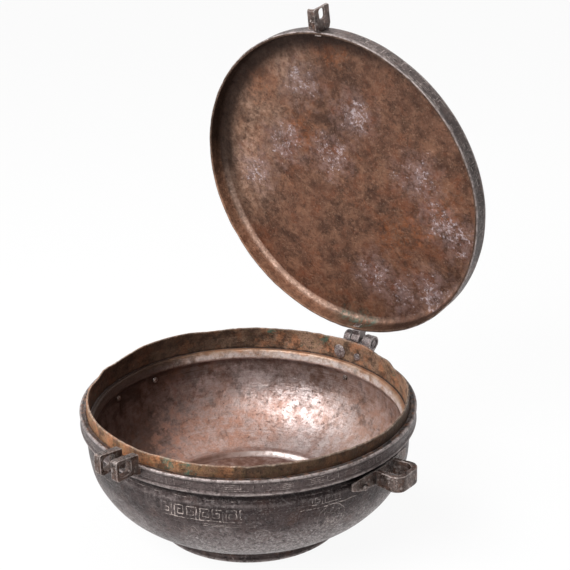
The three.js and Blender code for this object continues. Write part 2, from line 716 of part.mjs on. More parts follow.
function named(name, geometry, finish) {
  const flat = geometry.index ? geometry.toNonIndexed() : geometry;
  flat.computeVertexNormals();
  const mesh = new THREE.Mesh(flat, new THREE.MeshStandardMaterial(FINISHES[finish]));
  mesh.name = name;
  return mesh;
}

function piece(name, solid, finish) {
  return named(name, geometryOf(solid), finish);
}

// The whole bowl
const bowl = new THREE.Group();
bowl.name = "covered_alms_bowl";
bowl.add(piece("bowl_shell", bowlShell(), "darkBronze"));
bowl.add(piece("foot_ring", footRing(), "darkBronze"));
bowl.add(piece("rim_collar", rimCollar(), "copperyBronze"));
const leftKnuckle = bowlKnuckle(
  LEFT_KNUCKLE_END,
  LEFT_KNUCKLE_END + LEFT_KNUCKLE_WIDTH,
  LEFT_TANG_X,
  TANG_SIZE * 3.2,
  TANG_SIZE * 3.6,
);
const rightKnuckle = recessed(
  bowlKnuckle(
    RIGHT_KNUCKLE_END - RIGHT_KNUCKLE_WIDTH,
    RIGHT_KNUCKLE_END,
    RIGHT_TANG_X,
    TANG_SIZE * 2,
    TANG_SIZE * 2,
  ),
  RIGHT_KNUCKLE_END,
);
bowl.add(piece("hinge_knuckle_left", leftKnuckle, "wornBronze"));
bowl.add(piece("hinge_knuckle_right", rightKnuckle, "wornBronze"));
bowl.add(piece("hinge_pin", hingePin(), "wornBronze"));
bowl.add(piece("hasp_lug_left", haspLug(HASP_OFFSET - LUG_X), "darkBronze"));
bowl.add(piece("hasp_lug_right", haspLug(HASP_OFFSET + LUG_X), "darkBronze"));
const hingeRivet = rivet(BELLY_RADIUS + SEAT_GAP, HINGE_RIVET_ANGLE, RIVET_LEVEL);
bowl.add(named("hinge_wall_rivet", hingeRivet, "darkBronze"));

for (const { side, angle } of HANDLE_SIDES) {
  const loop = geometryOf(handleLoop()).rotateZ(angle);
  const plate = geometryOf(handlePlate()).rotateZ(angle);
  bowl.add(named("handle_loop_" + side, loop, "darkBronze"));
  bowl.add(named("handle_plate_" + side, plate, "darkBronze"));
  for (const [end, sign] of [["front", angle ? 1 : -1], ["back", angle ? -1 : 1]]) {
    const stud = rivet(PLATE_OUTER + SEAT_GAP, angle + sign * RIVET_ANGLE, RIVET_LEVEL);
    bowl.add(named("handle_rivet_" + side + "_" + end, stud, "wornBronze"));
  }
}

// The lid stands open, turned about the hinge pin.
const lid = new THREE.Group();
lid.name = "lid";
lid.position.set(0, PIN_Y, PIN_Z);
lid.rotation.x = -LID_OPEN_ANGLE;
for (const [name, solid, finish] of [
  ["lid_pan", lidPan(), "lidBronze"],
  ["lid_hinge_knuckle", lidKnuckle(), "wornBronze"],
  ["lid_hasp_tongue", haspTongue(), "darkBronze"],
]) {
  const mesh = piece(name, solid, finish);
  mesh.position.set(0, -PIN_Y, -PIN_Z);
  lid.add(mesh);
}
bowl.add(lid);

// The frame's origin is on the table, below the middle of the whole object's extents.
bowl.updateMatrixWorld(true);
const extents = new THREE.Box3().setFromObject(bowl, true);
const middle = extents.getCenter(new THREE.Vector3());
bowl.position.set(-middle.x, -middle.y, -extents.min.z);

export default bowl;
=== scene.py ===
import json
import math

import bmesh
import bpy
import numpy as np
from mathutils import Matrix, Vector


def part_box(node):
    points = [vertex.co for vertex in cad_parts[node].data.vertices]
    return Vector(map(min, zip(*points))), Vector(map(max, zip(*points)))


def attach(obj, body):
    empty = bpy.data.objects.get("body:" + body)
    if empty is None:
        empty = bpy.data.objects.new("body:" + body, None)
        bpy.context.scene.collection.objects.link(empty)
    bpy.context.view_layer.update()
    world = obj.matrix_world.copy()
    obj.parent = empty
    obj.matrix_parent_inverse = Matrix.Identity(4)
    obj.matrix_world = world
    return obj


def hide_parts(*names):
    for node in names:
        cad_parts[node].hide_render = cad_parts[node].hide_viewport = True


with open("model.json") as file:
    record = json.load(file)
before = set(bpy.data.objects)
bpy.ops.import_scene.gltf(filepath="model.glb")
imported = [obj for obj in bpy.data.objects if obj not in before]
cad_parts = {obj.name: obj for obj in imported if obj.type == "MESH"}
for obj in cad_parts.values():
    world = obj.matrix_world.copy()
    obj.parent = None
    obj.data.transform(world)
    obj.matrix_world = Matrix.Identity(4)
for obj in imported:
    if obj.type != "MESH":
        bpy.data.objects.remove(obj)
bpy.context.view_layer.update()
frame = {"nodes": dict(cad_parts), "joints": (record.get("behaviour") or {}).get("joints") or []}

MM = 0.001

# Places read from the frame
foot_low, foot_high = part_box("foot_ring")
shell_low, shell_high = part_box("bowl_shell")
collar_low, collar_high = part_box("rim_collar")
hinge_joint = next(j for j in frame["joints"] if j["name"] == "lid_hinge")
AXIS_Y = (shell_low[1] + shell_high[1]) / 2
BAND_RADIUS = (shell_high[0] - shell_low[0]) / 2
LEDGE_HEIGHT = shell_high[2]
FOOT_RADIUS = (foot_high[0] - foot_low[0]) / 2
COLLAR_OUTER = (collar_high[0] - collar_low[0]) / 2
COLLAR_TOP = collar_high[2]
COLLAR_SEAT = collar_low[2]
PIN = Vector(hinge_joint["pos_m"])
OPEN_ANGLE = math.radians(max(hinge_joint["range_deg"]))
TO_OPEN = Matrix.Translation(PIN) @ Matrix.Rotation(-OPEN_ANGLE, 4, "X") @ Matrix.Translation(-PIN)

# Sizes of the turned forms, in metres
BAND_HEIGHT = 9.2 * MM
BAND_BORDER = 1.6 * MM
BAND_RELIEF = 0.4 * MM
BOWL_WALL = 2.2 * MM
BELLY_RADIUS = BAND_RADIUS - 3.8 * MM
BELLY_LEVEL = 59 * MM
BELLY_DEPTH = 59 * MM
FLOOR_CREASE = 62 * MM
FLOOR_SHELF = 57.8 * MM
FLOOR_EDGE = 52.5 * MM
FLOOR_STEP = 2.6 * MM
WAIST_DEPTH = 2.3 * MM
WAIST_DROP = 3.8 * MM
COLLAR_WALL = 1.2 * MM
LID_WALL = 1.8 * MM
LID_HEIGHT = 12 * MM
LID_CORNER = 3 * MM
LID_FILLET = 4.2 * MM
LID_CROWN = 1.2 * MM
LID_RIM = LEDGE_HEIGHT + 0.2 * MM
LID_TOP = LID_RIM + LID_HEIGHT
BAND_BOTTOM = LEDGE_HEIGHT - BAND_HEIGHT
WAIST_LEVEL = BAND_BOTTOM - WAIST_DROP
# 2 would be an ellipse, and more is squarer
BELLY_SQUARENESS = 2.35
# Faces in one turn of a turned piece
TURN_STEPS = 384


def placed(name, data):
    """A new object of that name and data, in the scene."""
    made = bpy.data.objects.new(name, data)
    bpy.context.collection.objects.link(made)
    return made


# Profiles of the turned pieces, as [radius, height]
def belly_curve(radius, depth, floor_radius, count=40):
    """The curve from a flat floor of that radius up to the belly's widest level."""
    share = 2 / BELLY_SQUARENESS
    start = math.asin((floor_radius / radius) ** (1 / share))
    turns = np.linspace(start, math.pi / 2, count)
    reach = radius * np.sin(turns) ** share
    height = BELLY_LEVEL - depth * np.cos(turns).clip(0) ** share
    return [list(point) for point in zip(reach, height)]


def waist_curve(radius, count=9):
    """The curve from the belly's widest level up to the waist."""
    shares = np.linspace(0, 1, count)[1:]
    reach = radius - WAIST_DEPTH * (1 - np.cos(math.pi * shares)) / 2
    height = BELLY_LEVEL + (WAIST_LEVEL - BELLY_LEVEL) * shares
    return [list(point) for point in zip(reach, height)]


def eased(points, cut, rounds=3):
    """The same outline with its corners worn round, by cutting each corner at most that far in."""
    for _ in range(rounds):
        out = [points[0]]
        for before, here, after in zip(points, points[1:], points[2:]):
            here = np.array(here)
            for end in (before, after):
                leg = np.array(end) - here
                length = max(np.linalg.norm(leg), 1e-9)
                out.append(list(here + leg * min(0.3, cut / length)))
        out.append(points[-1])
        points = out
        cut *= 0.45
    return points


def spaced(points, longest):
    """The outline with extra points, so that no span is longer than that."""
    out = [points[0]]
    for a, b in zip(points, points[1:]):
        a, b = np.array(a), np.array(b)
        parts = max(1, math.ceil(np.linalg.norm(b - a) / longest))
        out += [list(a + (b - a) * i / parts) for i in range(1, parts + 1)]
    return out


def convexity(points):
    """How far the outline bulges outwards at each point: 1 on a sharp edge, 0 on a flat, -1 in a groove."""
    p = np.array(points)
    steps = np.diff(p, axis=0)
    heading = np.unwrap(np.arctan2(steps[:, 1], steps[:, 0]))
    turn = np.zeros(len(p))
    turn[1:-1] = np.diff(heading)
    length = np.zeros(len(p))
    length[1:-1] = (np.hypot(*steps[:-1].T) + np.hypot(*steps[1:].T)) / 2
    bend = np.divide(turn, length, out=np.zeros(len(p)), where=length > 0)
    reach = np.cumsum(np.concatenate([[0], np.hypot(*steps.T)]))
    nearness = np.array([np.exp(-((reach - s) ** 2) / (2 * (0.5 * MM) ** 2)) for s in reach])
    weights = nearness * np.maximum(length, 1e-7)[None, :]
    return np.tanh((weights @ bend) / weights.sum(axis=1) * 0.9 * MM)


def turned(name, profile, zones, wander, ring=False, open_lid=False):
    """A surface turned about the bowl's axis.

    profile runs from axis to axis, or closes on itself for a ring. zones gives each point's material.
    wander(radius, angle, height, row) returns the hand-made radius and height. The map wrap holds the
    share of a turn from the hasp and the height in metres. The attributes rub and reach hold the
    convexity and the radius in metres."""
    rows, steps = len(profile), TURN_STEPS
    p = np.array(profile)
    bulge = convexity(profile)
    radius = np.repeat(p[:, :1], steps, axis=1)
    height = np.repeat(p[:, 1:], steps, axis=1)
    turn = np.tile(np.arange(steps) * 2 * math.pi / steps, (rows, 1))
    radius, height = wander(radius, turn, height, np.arange(rows)[:, None])
    places = np.stack([radius * np.sin(turn), AXIS_Y - radius * np.cos(turn), height], axis=-1)
    verts = []
    index = np.full((rows, steps), -1)
    rub, reach = [], []
    for i in range(rows):
        if p[i, 0] < 1e-6:
            index[i, :] = len(verts)
            verts.append(places[i].mean(axis=0))
            count = 1
        else:
            index[i] = len(verts) + np.arange(steps)
            verts.extend(places[i])
            count = steps
        rub.extend([bulge[i]] * count)
        reach.extend([p[i, 0]] * count)
    faces, maps, kinds = [], [], []
    for i in range(rows if ring else rows - 1):
        k = (i + 1) % rows
        for j in range(steps):
            n = (j + 1) % steps
            corners = [index[i, j], index[i, n], index[k, n], index[k, j]]
            start, end = j / steps, (j + 1) / steps
            where = [(start, p[i, 1]), (end, p[i, 1]), (end, p[k, 1]), (start, p[k, 1])]
            if corners[0] == corners[1]:
                corners, where = corners[1:], where[1:]
            elif corners[2] == corners[3]:
                corners, where = corners[:3], where[:3]
            faces.append(corners)
            maps.extend(where)
            kinds.append(zones[i])
    mesh = bpy.data.meshes.new(name)
    mesh.from_pydata([tuple(v) for v in verts], [], faces)
    wrap = mesh.uv_layers.new(name="wrap")
    wrap.data.foreach_set("uv", np.array(maps, dtype=np.float32).ravel())
    mesh.polygons.foreach_set("material_index", np.array(kinds, dtype=np.int32))
    mesh.polygons.foreach_set("use_smooth", np.ones(len(faces), dtype=bool))
    for title, values in (("rub", rub), ("reach", reach)):
        mark = mesh.attributes.new(title, "FLOAT", "POINT")
        mark.data.foreach_set("value", np.array(values, dtype=np.float32))
    if open_lid:
        mesh.transform(TO_OPEN)
    mesh.update()
    piece = placed(name, mesh)
    bm = bmesh.new()
    bm.from_mesh(mesh)
    if bm.calc_volume(signed=True) < 0:
        bmesh.ops.reverse_faces(bm, faces=bm.faces)
        bm.to_mesh(mesh)
    bm.free()
    return piece


def swells(places, size, seed, count=14):
    """Smooth hand-made unevenness, about -1 to 1, with swells of that size, at each of the places."""
    chance = np.random.default_rng(seed)
    total = np.zeros(places.shape[:-1])
    for _ in range(count):
        heading = chance.normal(size=3)
        heading *= 2 * math.pi / (size * chance.uniform(1.4, 3.2)) / np.linalg.norm(heading)
        total += np.sin(places @ heading + chance.uniform(0, 2 * math.pi))
    return total * math.sqrt(0.9 / count)


def waves(radius, angle, height, size, seed):
    """The same unevenness over a surface turned about the bowl's axis."""
    places = [np.sin(angle) * radius, np.cos(angle) * radius, height]
    return swells(np.stack(np.broadcast_arrays(*places), axis=-1), size, seed)


def round_edge(angle, size, seed):
    """The same unevenness round a rim, alike at every height."""
    return waves(BAND_RADIUS, angle, 0.0, size, seed)


def ramp(value, start, end):
    """0 where the value is at start and beyond it, rising evenly to 1 where it is at end."""
    return np.clip((value - start) / (end - start), 0, 1)


def dent(angle, centre, width):
    """1 at that angle from the hasp, in degrees, and falling off within that width."""
    off = (angle - math.radians(centre) + math.pi) % (2 * math.pi) - math.pi
    return np.exp(-((off / math.radians(width)) ** 2))


# Bowl wall
def bowl_profile():
    relief = BAND_RADIUS - BAND_RELIEF
    waist = BELLY_RADIUS - WAIST_DEPTH
    lip = FOOT_RADIUS + 1.2 * MM
    inner_wall = belly_curve(BELLY_RADIUS - BOWL_WALL, BELLY_DEPTH - BOWL_WALL, FLOOR_CREASE)
    shelf = inner_wall[0][1]
    floor_top = shelf - FLOOR_STEP - 0.2 * MM
    outside = belly_curve(BELLY_RADIUS, BELLY_DEPTH, FLOOR_EDGE)
    outside = [[r, z - 0.7 * MM * math.exp(-(((r - lip) / (1.1 * MM)) ** 2))] for r, z in outside]
    below = [[0, floor_top - 1.6 * MM], [FLOOR_EDGE - FLOOR_STEP, floor_top - 1.6 * MM]]
    outside = below + outside + waist_curve(BELLY_RADIUS)
    band = [
        [waist + 0.6 * MM, WAIST_LEVEL + WAIST_DROP * 0.5],
        [BAND_RADIUS - 1.4 * MM, BAND_BOTTOM - 0.5 * MM],
        [BAND_RADIUS, BAND_BOTTOM],
        [BAND_RADIUS, BAND_BOTTOM + BAND_BORDER],
        [relief, BAND_BOTTOM + BAND_BORDER + BAND_RELIEF],
        [relief, LEDGE_HEIGHT - BAND_BORDER - BAND_RELIEF],
        [BAND_RADIUS, LEDGE_HEIGHT - BAND_BORDER],
        [BAND_RADIUS, LEDGE_HEIGHT],
        [COLLAR_OUTER + 0.9 * MM, LEDGE_HEIGHT - 0.1 * MM],
        [COLLAR_OUTER + 0.15 * MM, LEDGE_HEIGHT - 0.8 * MM],
        [COLLAR_OUTER + 0.15 * MM, COLLAR_SEAT + 0.1 * MM],
    ]
    ridge = waist - BOWL_WALL
    step = [[ridge + 1.1 * MM, COLLAR_SEAT], [ridge + 0.2 * MM, COLLAR_SEAT - 0.9 * MM]]
    inside = waist_curve(BELLY_RADIUS - BOWL_WALL)[::-1] + inner_wall[::-1]
    steps = [[FLOOR_SHELF, shelf - 0.2 * MM], [FLOOR_SHELF - 2 * MM, floor_top]]
    floor = eased([inside[-2], inside[-1]] + steps + [[FLOOR_EDGE - 6 * MM, floor_top]], 0.7 * MM)[1:]
    outer = outside[:-1] + eased(outside[-1:] + band, 0.5 * MM)[1:]
    inner = eased([band[-1]] + step + inside[:2], 0.8 * MM)[1:-1] + inside[2:-1]
    return spaced(outer, 1.6 * MM), spaced(inner + floor + [[0, floor_top]], 1.3 * MM)


def bowl_wander(radius, angle, height, row):
    # The ridge between waist and collar, and the step at the floor's edge, wander most
    ridge_level, step_radius = 67 * MM, 57 * MM
    ridge = ramp(np.abs(height - ridge_level), 4 * MM, 0) * (radius < COLLAR_OUTER - 1.5 * MM)
    step = ramp(np.abs(radius - step_radius), 6 * MM, 0) * (row >= len(bowl_outside))
    floor = ramp(radius, 60 * MM, 55 * MM) * ramp(height, 16 * MM, 13 * MM)
    rise = ramp(height, 12 * MM, 32 * MM) * ramp(radius, 0, 60 * MM)
    swell = waves(radius, angle, height, 55 * MM, 3) * 0.35
    swell += waves(radius, angle, height, 11 * MM, 8) * 0.12
    sag = waves(radius, angle, 0.0, 24 * MM, 31) * 0.12 * floor
    sag = sag + (round_edge(angle, 26 * MM, 44) * 0.3 + round_edge(angle, 8 * MM, 45) * 0.18) * ridge
    edge = round_edge(angle, 40 * MM, 33) * 0.6 + round_edge(angle, 13 * MM, 34) * 0.25
    radius = radius + edge * step * MM
    limit = np.where(radius > BAND_RADIUS - 0.6 * MM, 0.25, 1.0)
    return radius + (swell * limit - 0.15) * rise * MM, height + sag * MM


bowl_outside, bowl_inside = bowl_profile()
bowl_zones = [0] * len(bowl_outside) + [1] * len(bowl_inside)
bowl_wall = turned("bowl_wall", bowl_outside + bowl_inside, bowl_zones, bowl_wander)
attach(bowl_wall, "bowl")
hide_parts("bowl_shell")

# Foot ring, slightly worn where it stands
foot_inner = FOOT_RADIUS - 3.4 * MM
foot_profile = [
    [foot_inner, 0.2 * MM],
    [foot_inner + 1.4 * MM, 0],
    [FOOT_RADIUS - 0.5 * MM, 0],
    [FOOT_RADIUS, 0.6 * MM],
    [FOOT_RADIUS, 1.8 * MM],
    [FOOT_RADIUS - 0.5 * MM, 3.2 * MM],
    [FOOT_RADIUS - 0.7 * MM, 8.1 * MM],
    [foot_inner + 1.2 * MM, 7.6 * MM],
    [foot_inner, 6.9 * MM],
    [foot_inner, 0.2 * MM],
]
foot_profile = spaced(eased(foot_profile, 0.4 * MM), 1.2 * MM)[:-1]


def foot_wander(radius, angle, height, row):
    wear = waves(radius, angle, height, 30 * MM, 5) * 0.12 * MM
    return radius + wear, np.maximum(height + wear * 0.3, 0)


foot = turned("foot_rim", foot_profile, [0] * len(foot_profile), foot_wander, ring=True)
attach(foot, "bowl")
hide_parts("foot_ring")

# Collar sheet: its upper edge is uneven and dented
collar_inner = COLLAR_OUTER - COLLAR_WALL
collar_profile = [
    [collar_inner, COLLAR_SEAT + 0.1 * MM],
    [COLLAR_OUTER, COLLAR_SEAT + 0.1 * MM],
    [COLLAR_OUTER, COLLAR_TOP],
    [collar_inner, COLLAR_TOP],
    [collar_inner, COLLAR_SEAT + 0.1 * MM],
]
collar_profile = spaced(eased(collar_profile, 0.3 * MM, 2), 0.9 * MM)[:-1]
# Where the collar is pressed in: the angle from the hasp and the width in degrees, the depth in mm
COLLAR_DENTS = (
    (146, 4, 1.3),
    (159, 3, 0.8),
    (118, 6, 0.7),
    (-62, 5, 1.1),
    (-84, 9, 1.0),
    (-128, 9, 0.9),
    (66, 5, 0.9),
    (78, 3, 0.6),
    (38, 6, 0.5),
)


def collar_wander(radius, angle, height, row):
    free = ramp(height, LEDGE_HEIGHT, COLLAR_TOP)
    edge = round_edge(angle, 34 * MM, 2) * 0.5 + round_edge(angle, 9 * MM, 6) * 0.25
    edge += np.abs(round_edge(angle, 5 * MM, 12)) * 0.22 + round_edge(angle, 2.6 * MM, 11) * 0.1
    lean = round_edge(angle, 60 * MM, 4) * 0.45 + round_edge(angle, 15 * MM, 7) * 0.12 - 0.4
    for centre, width, deep in COLLAR_DENTS:
        edge -= dent(angle, centre, width) * deep * 0.5
        lean -= dent(angle, centre, width * 1.4) * deep
    return radius + lean * free * MM, height + np.minimum(edge - 0.5, 0) * free * MM


collar_kinds = [0 if r > COLLAR_OUTER - 0.45 * MM else 1 for r, z in collar_profile]
collar = turned("collar_sheet", collar_profile, collar_kinds, collar_wander, ring=True)
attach(collar, "bowl")
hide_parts("rim_collar")


# Lid, drawn closed and turned open about the pin
def quarter(radius, height, corner):
    """The quarter circle of that corner radius about that centre, from its side up to its top."""
    turns = np.linspace(0, math.pi / 2, 9)
    return [[radius + corner * math.cos(a), height + corner * math.sin(a)] for a in turns]


def crowned(start, end, height):
    """The slightly domed sheet between two radii."""
    flat = BAND_RADIUS - LID_CORNER
    return [[r, height + LID_CROWN * (1 - min(r / flat, 1) ** 2)] for r in np.linspace(start, end, 40)]


def lid_profile():
    skirt = BAND_RADIUS - LID_WALL
    flat = BAND_RADIUS - LID_CORNER
    inner_flat, roof = skirt - LID_FILLET, LID_TOP - LID_WALL
    under = crowned(0, inner_flat, roof)[:-1]
    under += quarter(inner_flat, roof - LID_FILLET, LID_FILLET)[::-1]
    rim = [
        [skirt, LID_RIM],
        [BAND_RADIUS, LID_RIM],
        [BAND_RADIUS, LID_RIM + 1.2 * MM],
        [BAND_RADIUS - 0.25 * MM, LID_RIM + 1.5 * MM],
    ]
    rim = spaced(eased(under[-1:] + rim, 0.35 * MM)[1:], 0.8 * MM)
    over = spaced(rim[-1:] + quarter(flat, LID_TOP - LID_CORNER, LID_CORNER), 0.8 * MM)[1:]
    return under, rim, over + crowned(flat, 0, LID_TOP)[1:]


def lid_wander(radius, angle, height, row):
    near_rim = ramp(height, LID_TOP - LID_CORNER, LID_RIM)
    middle, outward = ramp(radius, BAND_RADIUS, 0), ramp(radius, 0.9 * BAND_RADIUS, BAND_RADIUS)
    nick = round_edge(angle, 24 * MM, 21) * 0.3 + round_edge(angle, 4 * MM, 14) * 0.16
    bend = round_edge(angle, 70 * MM, 17) * 0.4 + round_edge(angle, 12 * MM, 18) * 0.1 - 0.25
    sag = waves(radius, angle, 0.0, 45 * MM, 9) * 0.35 + waves(radius, angle, 0.0, 14 * MM, 10) * 0.1
    sag = sag * np.minimum(middle * 5, 1) - 0.3 * middle - 0.02
    height = height + (np.clip(nick, -0.4, 0.5) * near_rim + sag) * MM
    # The closed lid's rim stays clear of the ledge
    return radius + np.minimum(bend, 0) * outward * MM, np.maximum(height, LID_RIM + 0.02 * MM)


lid_under, lid_edge, lid_over = lid_profile()
under_rows = len(lid_under) + len(lid_edge) // 3
lid_rows = lid_under + lid_edge + lid_over
lid_zones = [0] * under_rows + [1] * (len(lid_rows) - under_rows)
lid = turned("lid_sheet", lid_rows, lid_zones, lid_wander, open_lid=True)
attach(lid, "lid")
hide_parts("lid_pan")


# Hand-forged small pieces: a copy of the solid with its edges worn round
FORGED_GRAIN = 0.32 * MM
FORGED_UNEVENNESS = 0.06 * MM
FORGED_SMOOTHINGS = 7


def forged(node, name, body):
    mesh = frame["nodes"][node].data.copy()
    piece = placed(name, mesh)
    bm = bmesh.new()
    bm.from_mesh(mesh)
    bmesh.ops.remove_doubles(bm, verts=bm.verts, dist=1e-6)
    bm.to_mesh(mesh)
    bm.free()
    remesh = piece.modifiers.new("even_faces", "REMESH")
    remesh.mode = "VOXEL"
    remesh.voxel_size = FORGED_GRAIN
    smooth = piece.modifiers.new("worn_edges", "SMOOTH")
    smooth.factor = 0.5
    smooth.iterations = FORGED_SMOOTHINGS
    graph = bpy.context.evaluated_depsgraph_get()
    made = bpy.data.meshes.new_from_object(piece.evaluated_get(graph))
    piece.modifiers.clear()
    piece.data = made
    made.materials.clear()
    count = len(made.vertices)
    places, outward = np.empty(count * 3), np.empty(count * 3)
    made.vertices.foreach_get("co", places)
    made.vertices.foreach_get("normal", outward)
    places, outward = places.reshape(-1, 3), outward.reshape(-1, 3)
    push = swells(places, 4 * MM, 1) + swells(places, 1.1 * MM, 2) * 0.35 - 1.2
    places += outward * push[:, None] * FORGED_UNEVENNESS
    solid = np.array([tuple(v.co) for v in mesh.vertices])
    places = np.clip(places, solid.min(axis=0), solid.max(axis=0))
    made.vertices.foreach_set("co", places.ravel())
    made.polygons.foreach_set("use_smooth", np.ones(len(made.polygons), dtype=bool))
    made.name = name
    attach(piece, body)
    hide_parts(node)
    return piece


# Each small solid and the name of the piece that replaces it
SIDES = ("right", "left")
CORNERS = [f"{side}_{end}" for side in SIDES for end in ("front", "back")]
DARK_PIECES = {
    "hasp_lug_left": "lug_left",
    "hasp_lug_right": "lug_right",
    **{f"handle_loop_{side}": f"loop_{side}" for side in SIDES},
    **{f"handle_plate_{side}": f"mount_{side}" for side in SIDES},
    **{f"handle_rivet_{corner}": f"rivet_{corner}" for corner in CORNERS},
    "hinge_wall_rivet": "rivet_hinge",
}
BRIGHT_PIECES = {
    "hinge_knuckle_left": "knuckle_left",
    "hinge_knuckle_right": "knuckle_right",
    "hinge_pin": "pin",
}
LID_PIECES = {"lid_hinge_knuckle": "lid_knuckle", "lid_hasp_tongue": "tongue"}

dark_pieces = [forged(node, name, "bowl") for node, name in DARK_PIECES.items()]
bright_pieces = [forged(node, name, "bowl") for node, name in BRIGHT_PIECES.items()]
lid_pieces = [forged(node, name, "lid") for node, name in LID_PIECES.items()]


# Material tools
def colour(code):
    """A #rrggbb colour as the linear values that the shaders take."""
    parts = [int(code[i : i + 2], 16) / 255 for i in (1, 3, 5)]
    linear = [p / 12.92 if p <= 0.04045 else ((p + 0.055) / 1.055) ** 2.4 for p in parts]
    return (*linear, 1.0)


def plug(node, inputs):
    """Link each input that is given as a socket, and set any other value on the node's own socket."""
    for key, value in inputs.items():
        if isinstance(value, bpy.types.NodeSocket):
            node.id_data.links.new(value, node.inputs[key])
        else:
            node.inputs[key].default_value = value


def add(kind, inputs=None, tree=None, **settings):
    """One node with its settings and inputs, in the given tree or the one that its inputs come from."""
    inputs = inputs or {}
    sources = [value for value in inputs.values() if isinstance(value, bpy.types.NodeSocket)]
    made = (tree or sources[0].id_data).nodes.new("ShaderNode" + kind)
    for key, value in settings.items():
        setattr(made, key, value)
    plug(made, inputs)
    return made


def sum_of(operation, *values):
    """The values taken together by one operation, such as ADD or MAXIMUM."""
    total = values[0]
    for value in values[1:]:
        total = add("Math", {0: total, 1: value}, operation=operation).outputs[0]
    return total


def times(*values):
    return sum_of("MULTIPLY", *values)


def layered(ground, *layers):
    """The ground with layers of colour over it, from the lowest up.

    Each layer is a colour and the masks and shares whose product says how much of it shows."""
    shade = colour(ground) if isinstance(ground, str) else ground
    for code, *shares in layers:
        inputs = {"Factor": times(*shares), 6: shade, 7: colour(code)}
        shade = add("Mix", inputs, data_type="RGBA").outputs[2]
    return shade


def cloud(place, size, seed=0.0, detail=6.0, rough=0.55):
    """Irregular clouds of that size in metres, mostly between 0.3 and 0.7."""
    inputs = {"Vector": place, "W": seed, "Scale": 1 / size, "Detail": detail, "Roughness": rough}
    return add("TexNoise", inputs, noise_dimensions="4D").outputs[0]


def patches(place, size, low, high, seed=0.0, detail=6.0, rough=0.55):
    """Irregular patches of that size: 0 outside, 1 inside, with an edge between low and high."""
    limits = {"Value": cloud(place, size, seed, detail, rough), "From Min": low, "From Max": high}
    return add("MapRange", limits, interpolation_type="SMOOTHSTEP").outputs["Result"]


def level(value, low, high):
    """A 0 to 1 value spread between low and high."""
    inputs = {"Value": value, "To Min": low, "To Max": high}
    return add("MapRange", inputs).outputs["Result"]


def spread(value, start, end, clamp=True):
    """0 where the value is at start and 1 where it is at end."""
    inputs = {"Value": value, "From Min": start, "From Max": end}
    return add("MapRange", inputs, clamp=clamp).outputs["Result"]


def between(value, low, high, soft):
    """1 where the value lies between low and high, fading to 0 over that width outside."""
    return times(spread(value, low - soft, low), spread(value, high + soft, high))


def within(value, centre, half):
    """1 where the value lies no further than half from the centre, else 0."""
    inputs = {0: value, 1: centre, 2: half}
    return add("Math", inputs, operation="COMPARE").outputs[0]


def scaled(value, factor, offset):
    inputs = {0: value, 1: factor, 2: offset}
    return add("Math", inputs, operation="MULTIPLY_ADD").outputs[0]


def attribute(tree, name):
    return add("Attribute", tree=tree, attribute_name=name).outputs["Fac"]


def spots_at(place, centres, radius):
    """1 at the middle of round areas of that radius, fading to 0 at their edge."""
    near = []
    for centre in centres:
        away = add("VectorMath", {0: place, 1: centre}, operation="DISTANCE").outputs["Value"]
        near.append(spread(away, radius, radius * 0.35))
    return sum_of("MAXIMUM", *near)


def stirred(place, size, reach):
    """The place moved unevenly by about that reach, so that areas drawn there get ragged outlines."""
    noise = add("TexNoise", {"Vector": place, "Scale": 1 / size, "Detail": 5.0, "Roughness": 0.65})
    inputs = {0: noise.outputs["Color"], 1: (0.5, 0.5, 0.5)}
    moved = add("VectorMath", inputs, operation="SUBTRACT").outputs[0]
    inputs = {0: moved, 1: (6 * reach, 6 * reach, 6 * reach), 2: place}
    return add("VectorMath", inputs, operation="MULTIPLY_ADD").outputs[0]


def shaken(place, value, size, reach):
    """The value moved unevenly by up to that reach, as a tool held by hand wanders."""
    moved = level(cloud(place, size, reach * 1e6, 3.0), -2 * reach, 2 * reach)
    return sum_of("ADD", value, moved)


def turning_marks(place, height, spacing):
    """Fine scratches that run round the piece, about that far apart and each about 30 mm long."""
    length = 30 * MM
    parts = add("SeparateXYZ", {"Vector": place}).outputs
    inputs = {
        "X": times(parts["X"], 1 / length),
        "Y": times(parts["Y"], 1 / length),
        "Z": times(height, 1 / spacing),
    }
    where = add("CombineXYZ", inputs).outputs["Vector"]
    inputs = {"Vector": where, "Scale": 1.0, "Detail": 3.0, "Roughness": 0.6}
    return spread(add("TexNoise", inputs).outputs[0], 0.36, 0.66)


def new_material(name):
    """A new material with its node tree and the place on the piece that its patterns read."""
    material = bpy.data.materials.new(name)
    material.use_nodes = True
    tree = material.node_tree
    return material, tree, add("TexCoord", tree=tree).outputs["Object"]


def finish_metal(material, shade, rough, metallic, height, depth):
    bump = add("Bump", {"Height": height, "Distance": depth, "Strength": 1.0})
    inputs = {"Base Color": shade, "Roughness": rough, "Metallic": metallic}
    inputs["Normal"] = bump.outputs["Normal"]
    plug(material.node_tree.nodes["Principled BSDF"], inputs)
    return material


# Engraved ornament, drawn as masks over the wrap map. Each stroke of a squared hook is given as
# (is it upright, centre, start, end), in shares of one repeat.
KEY_FRET = (
    (False, 0.07, 0.0, 1.0),
    (True, 0.86, 0.07, 0.93),
    (False, 0.93, 0.14, 0.86),
    (True, 0.14, 0.34, 0.93),
    (False, 0.34, 0.14, 0.62),
    (True, 0.62, 0.34, 0.66),
    (False, 0.66, 0.38, 0.62),
)
# Two nested squared hooks, for long flat fields
LONG_FRET = (
    (False, 0.12, 0.04, 0.8),
    (True, 0.04, 0.12, 0.88),
    (False, 0.88, 0.04, 0.62),
    (True, 0.62, 0.36, 0.88),
    (False, 0.36, 0.2, 0.62),
    (False, 0.62, 0.2, 0.46),
    (True, 0.9, 0.12, 0.88),
)


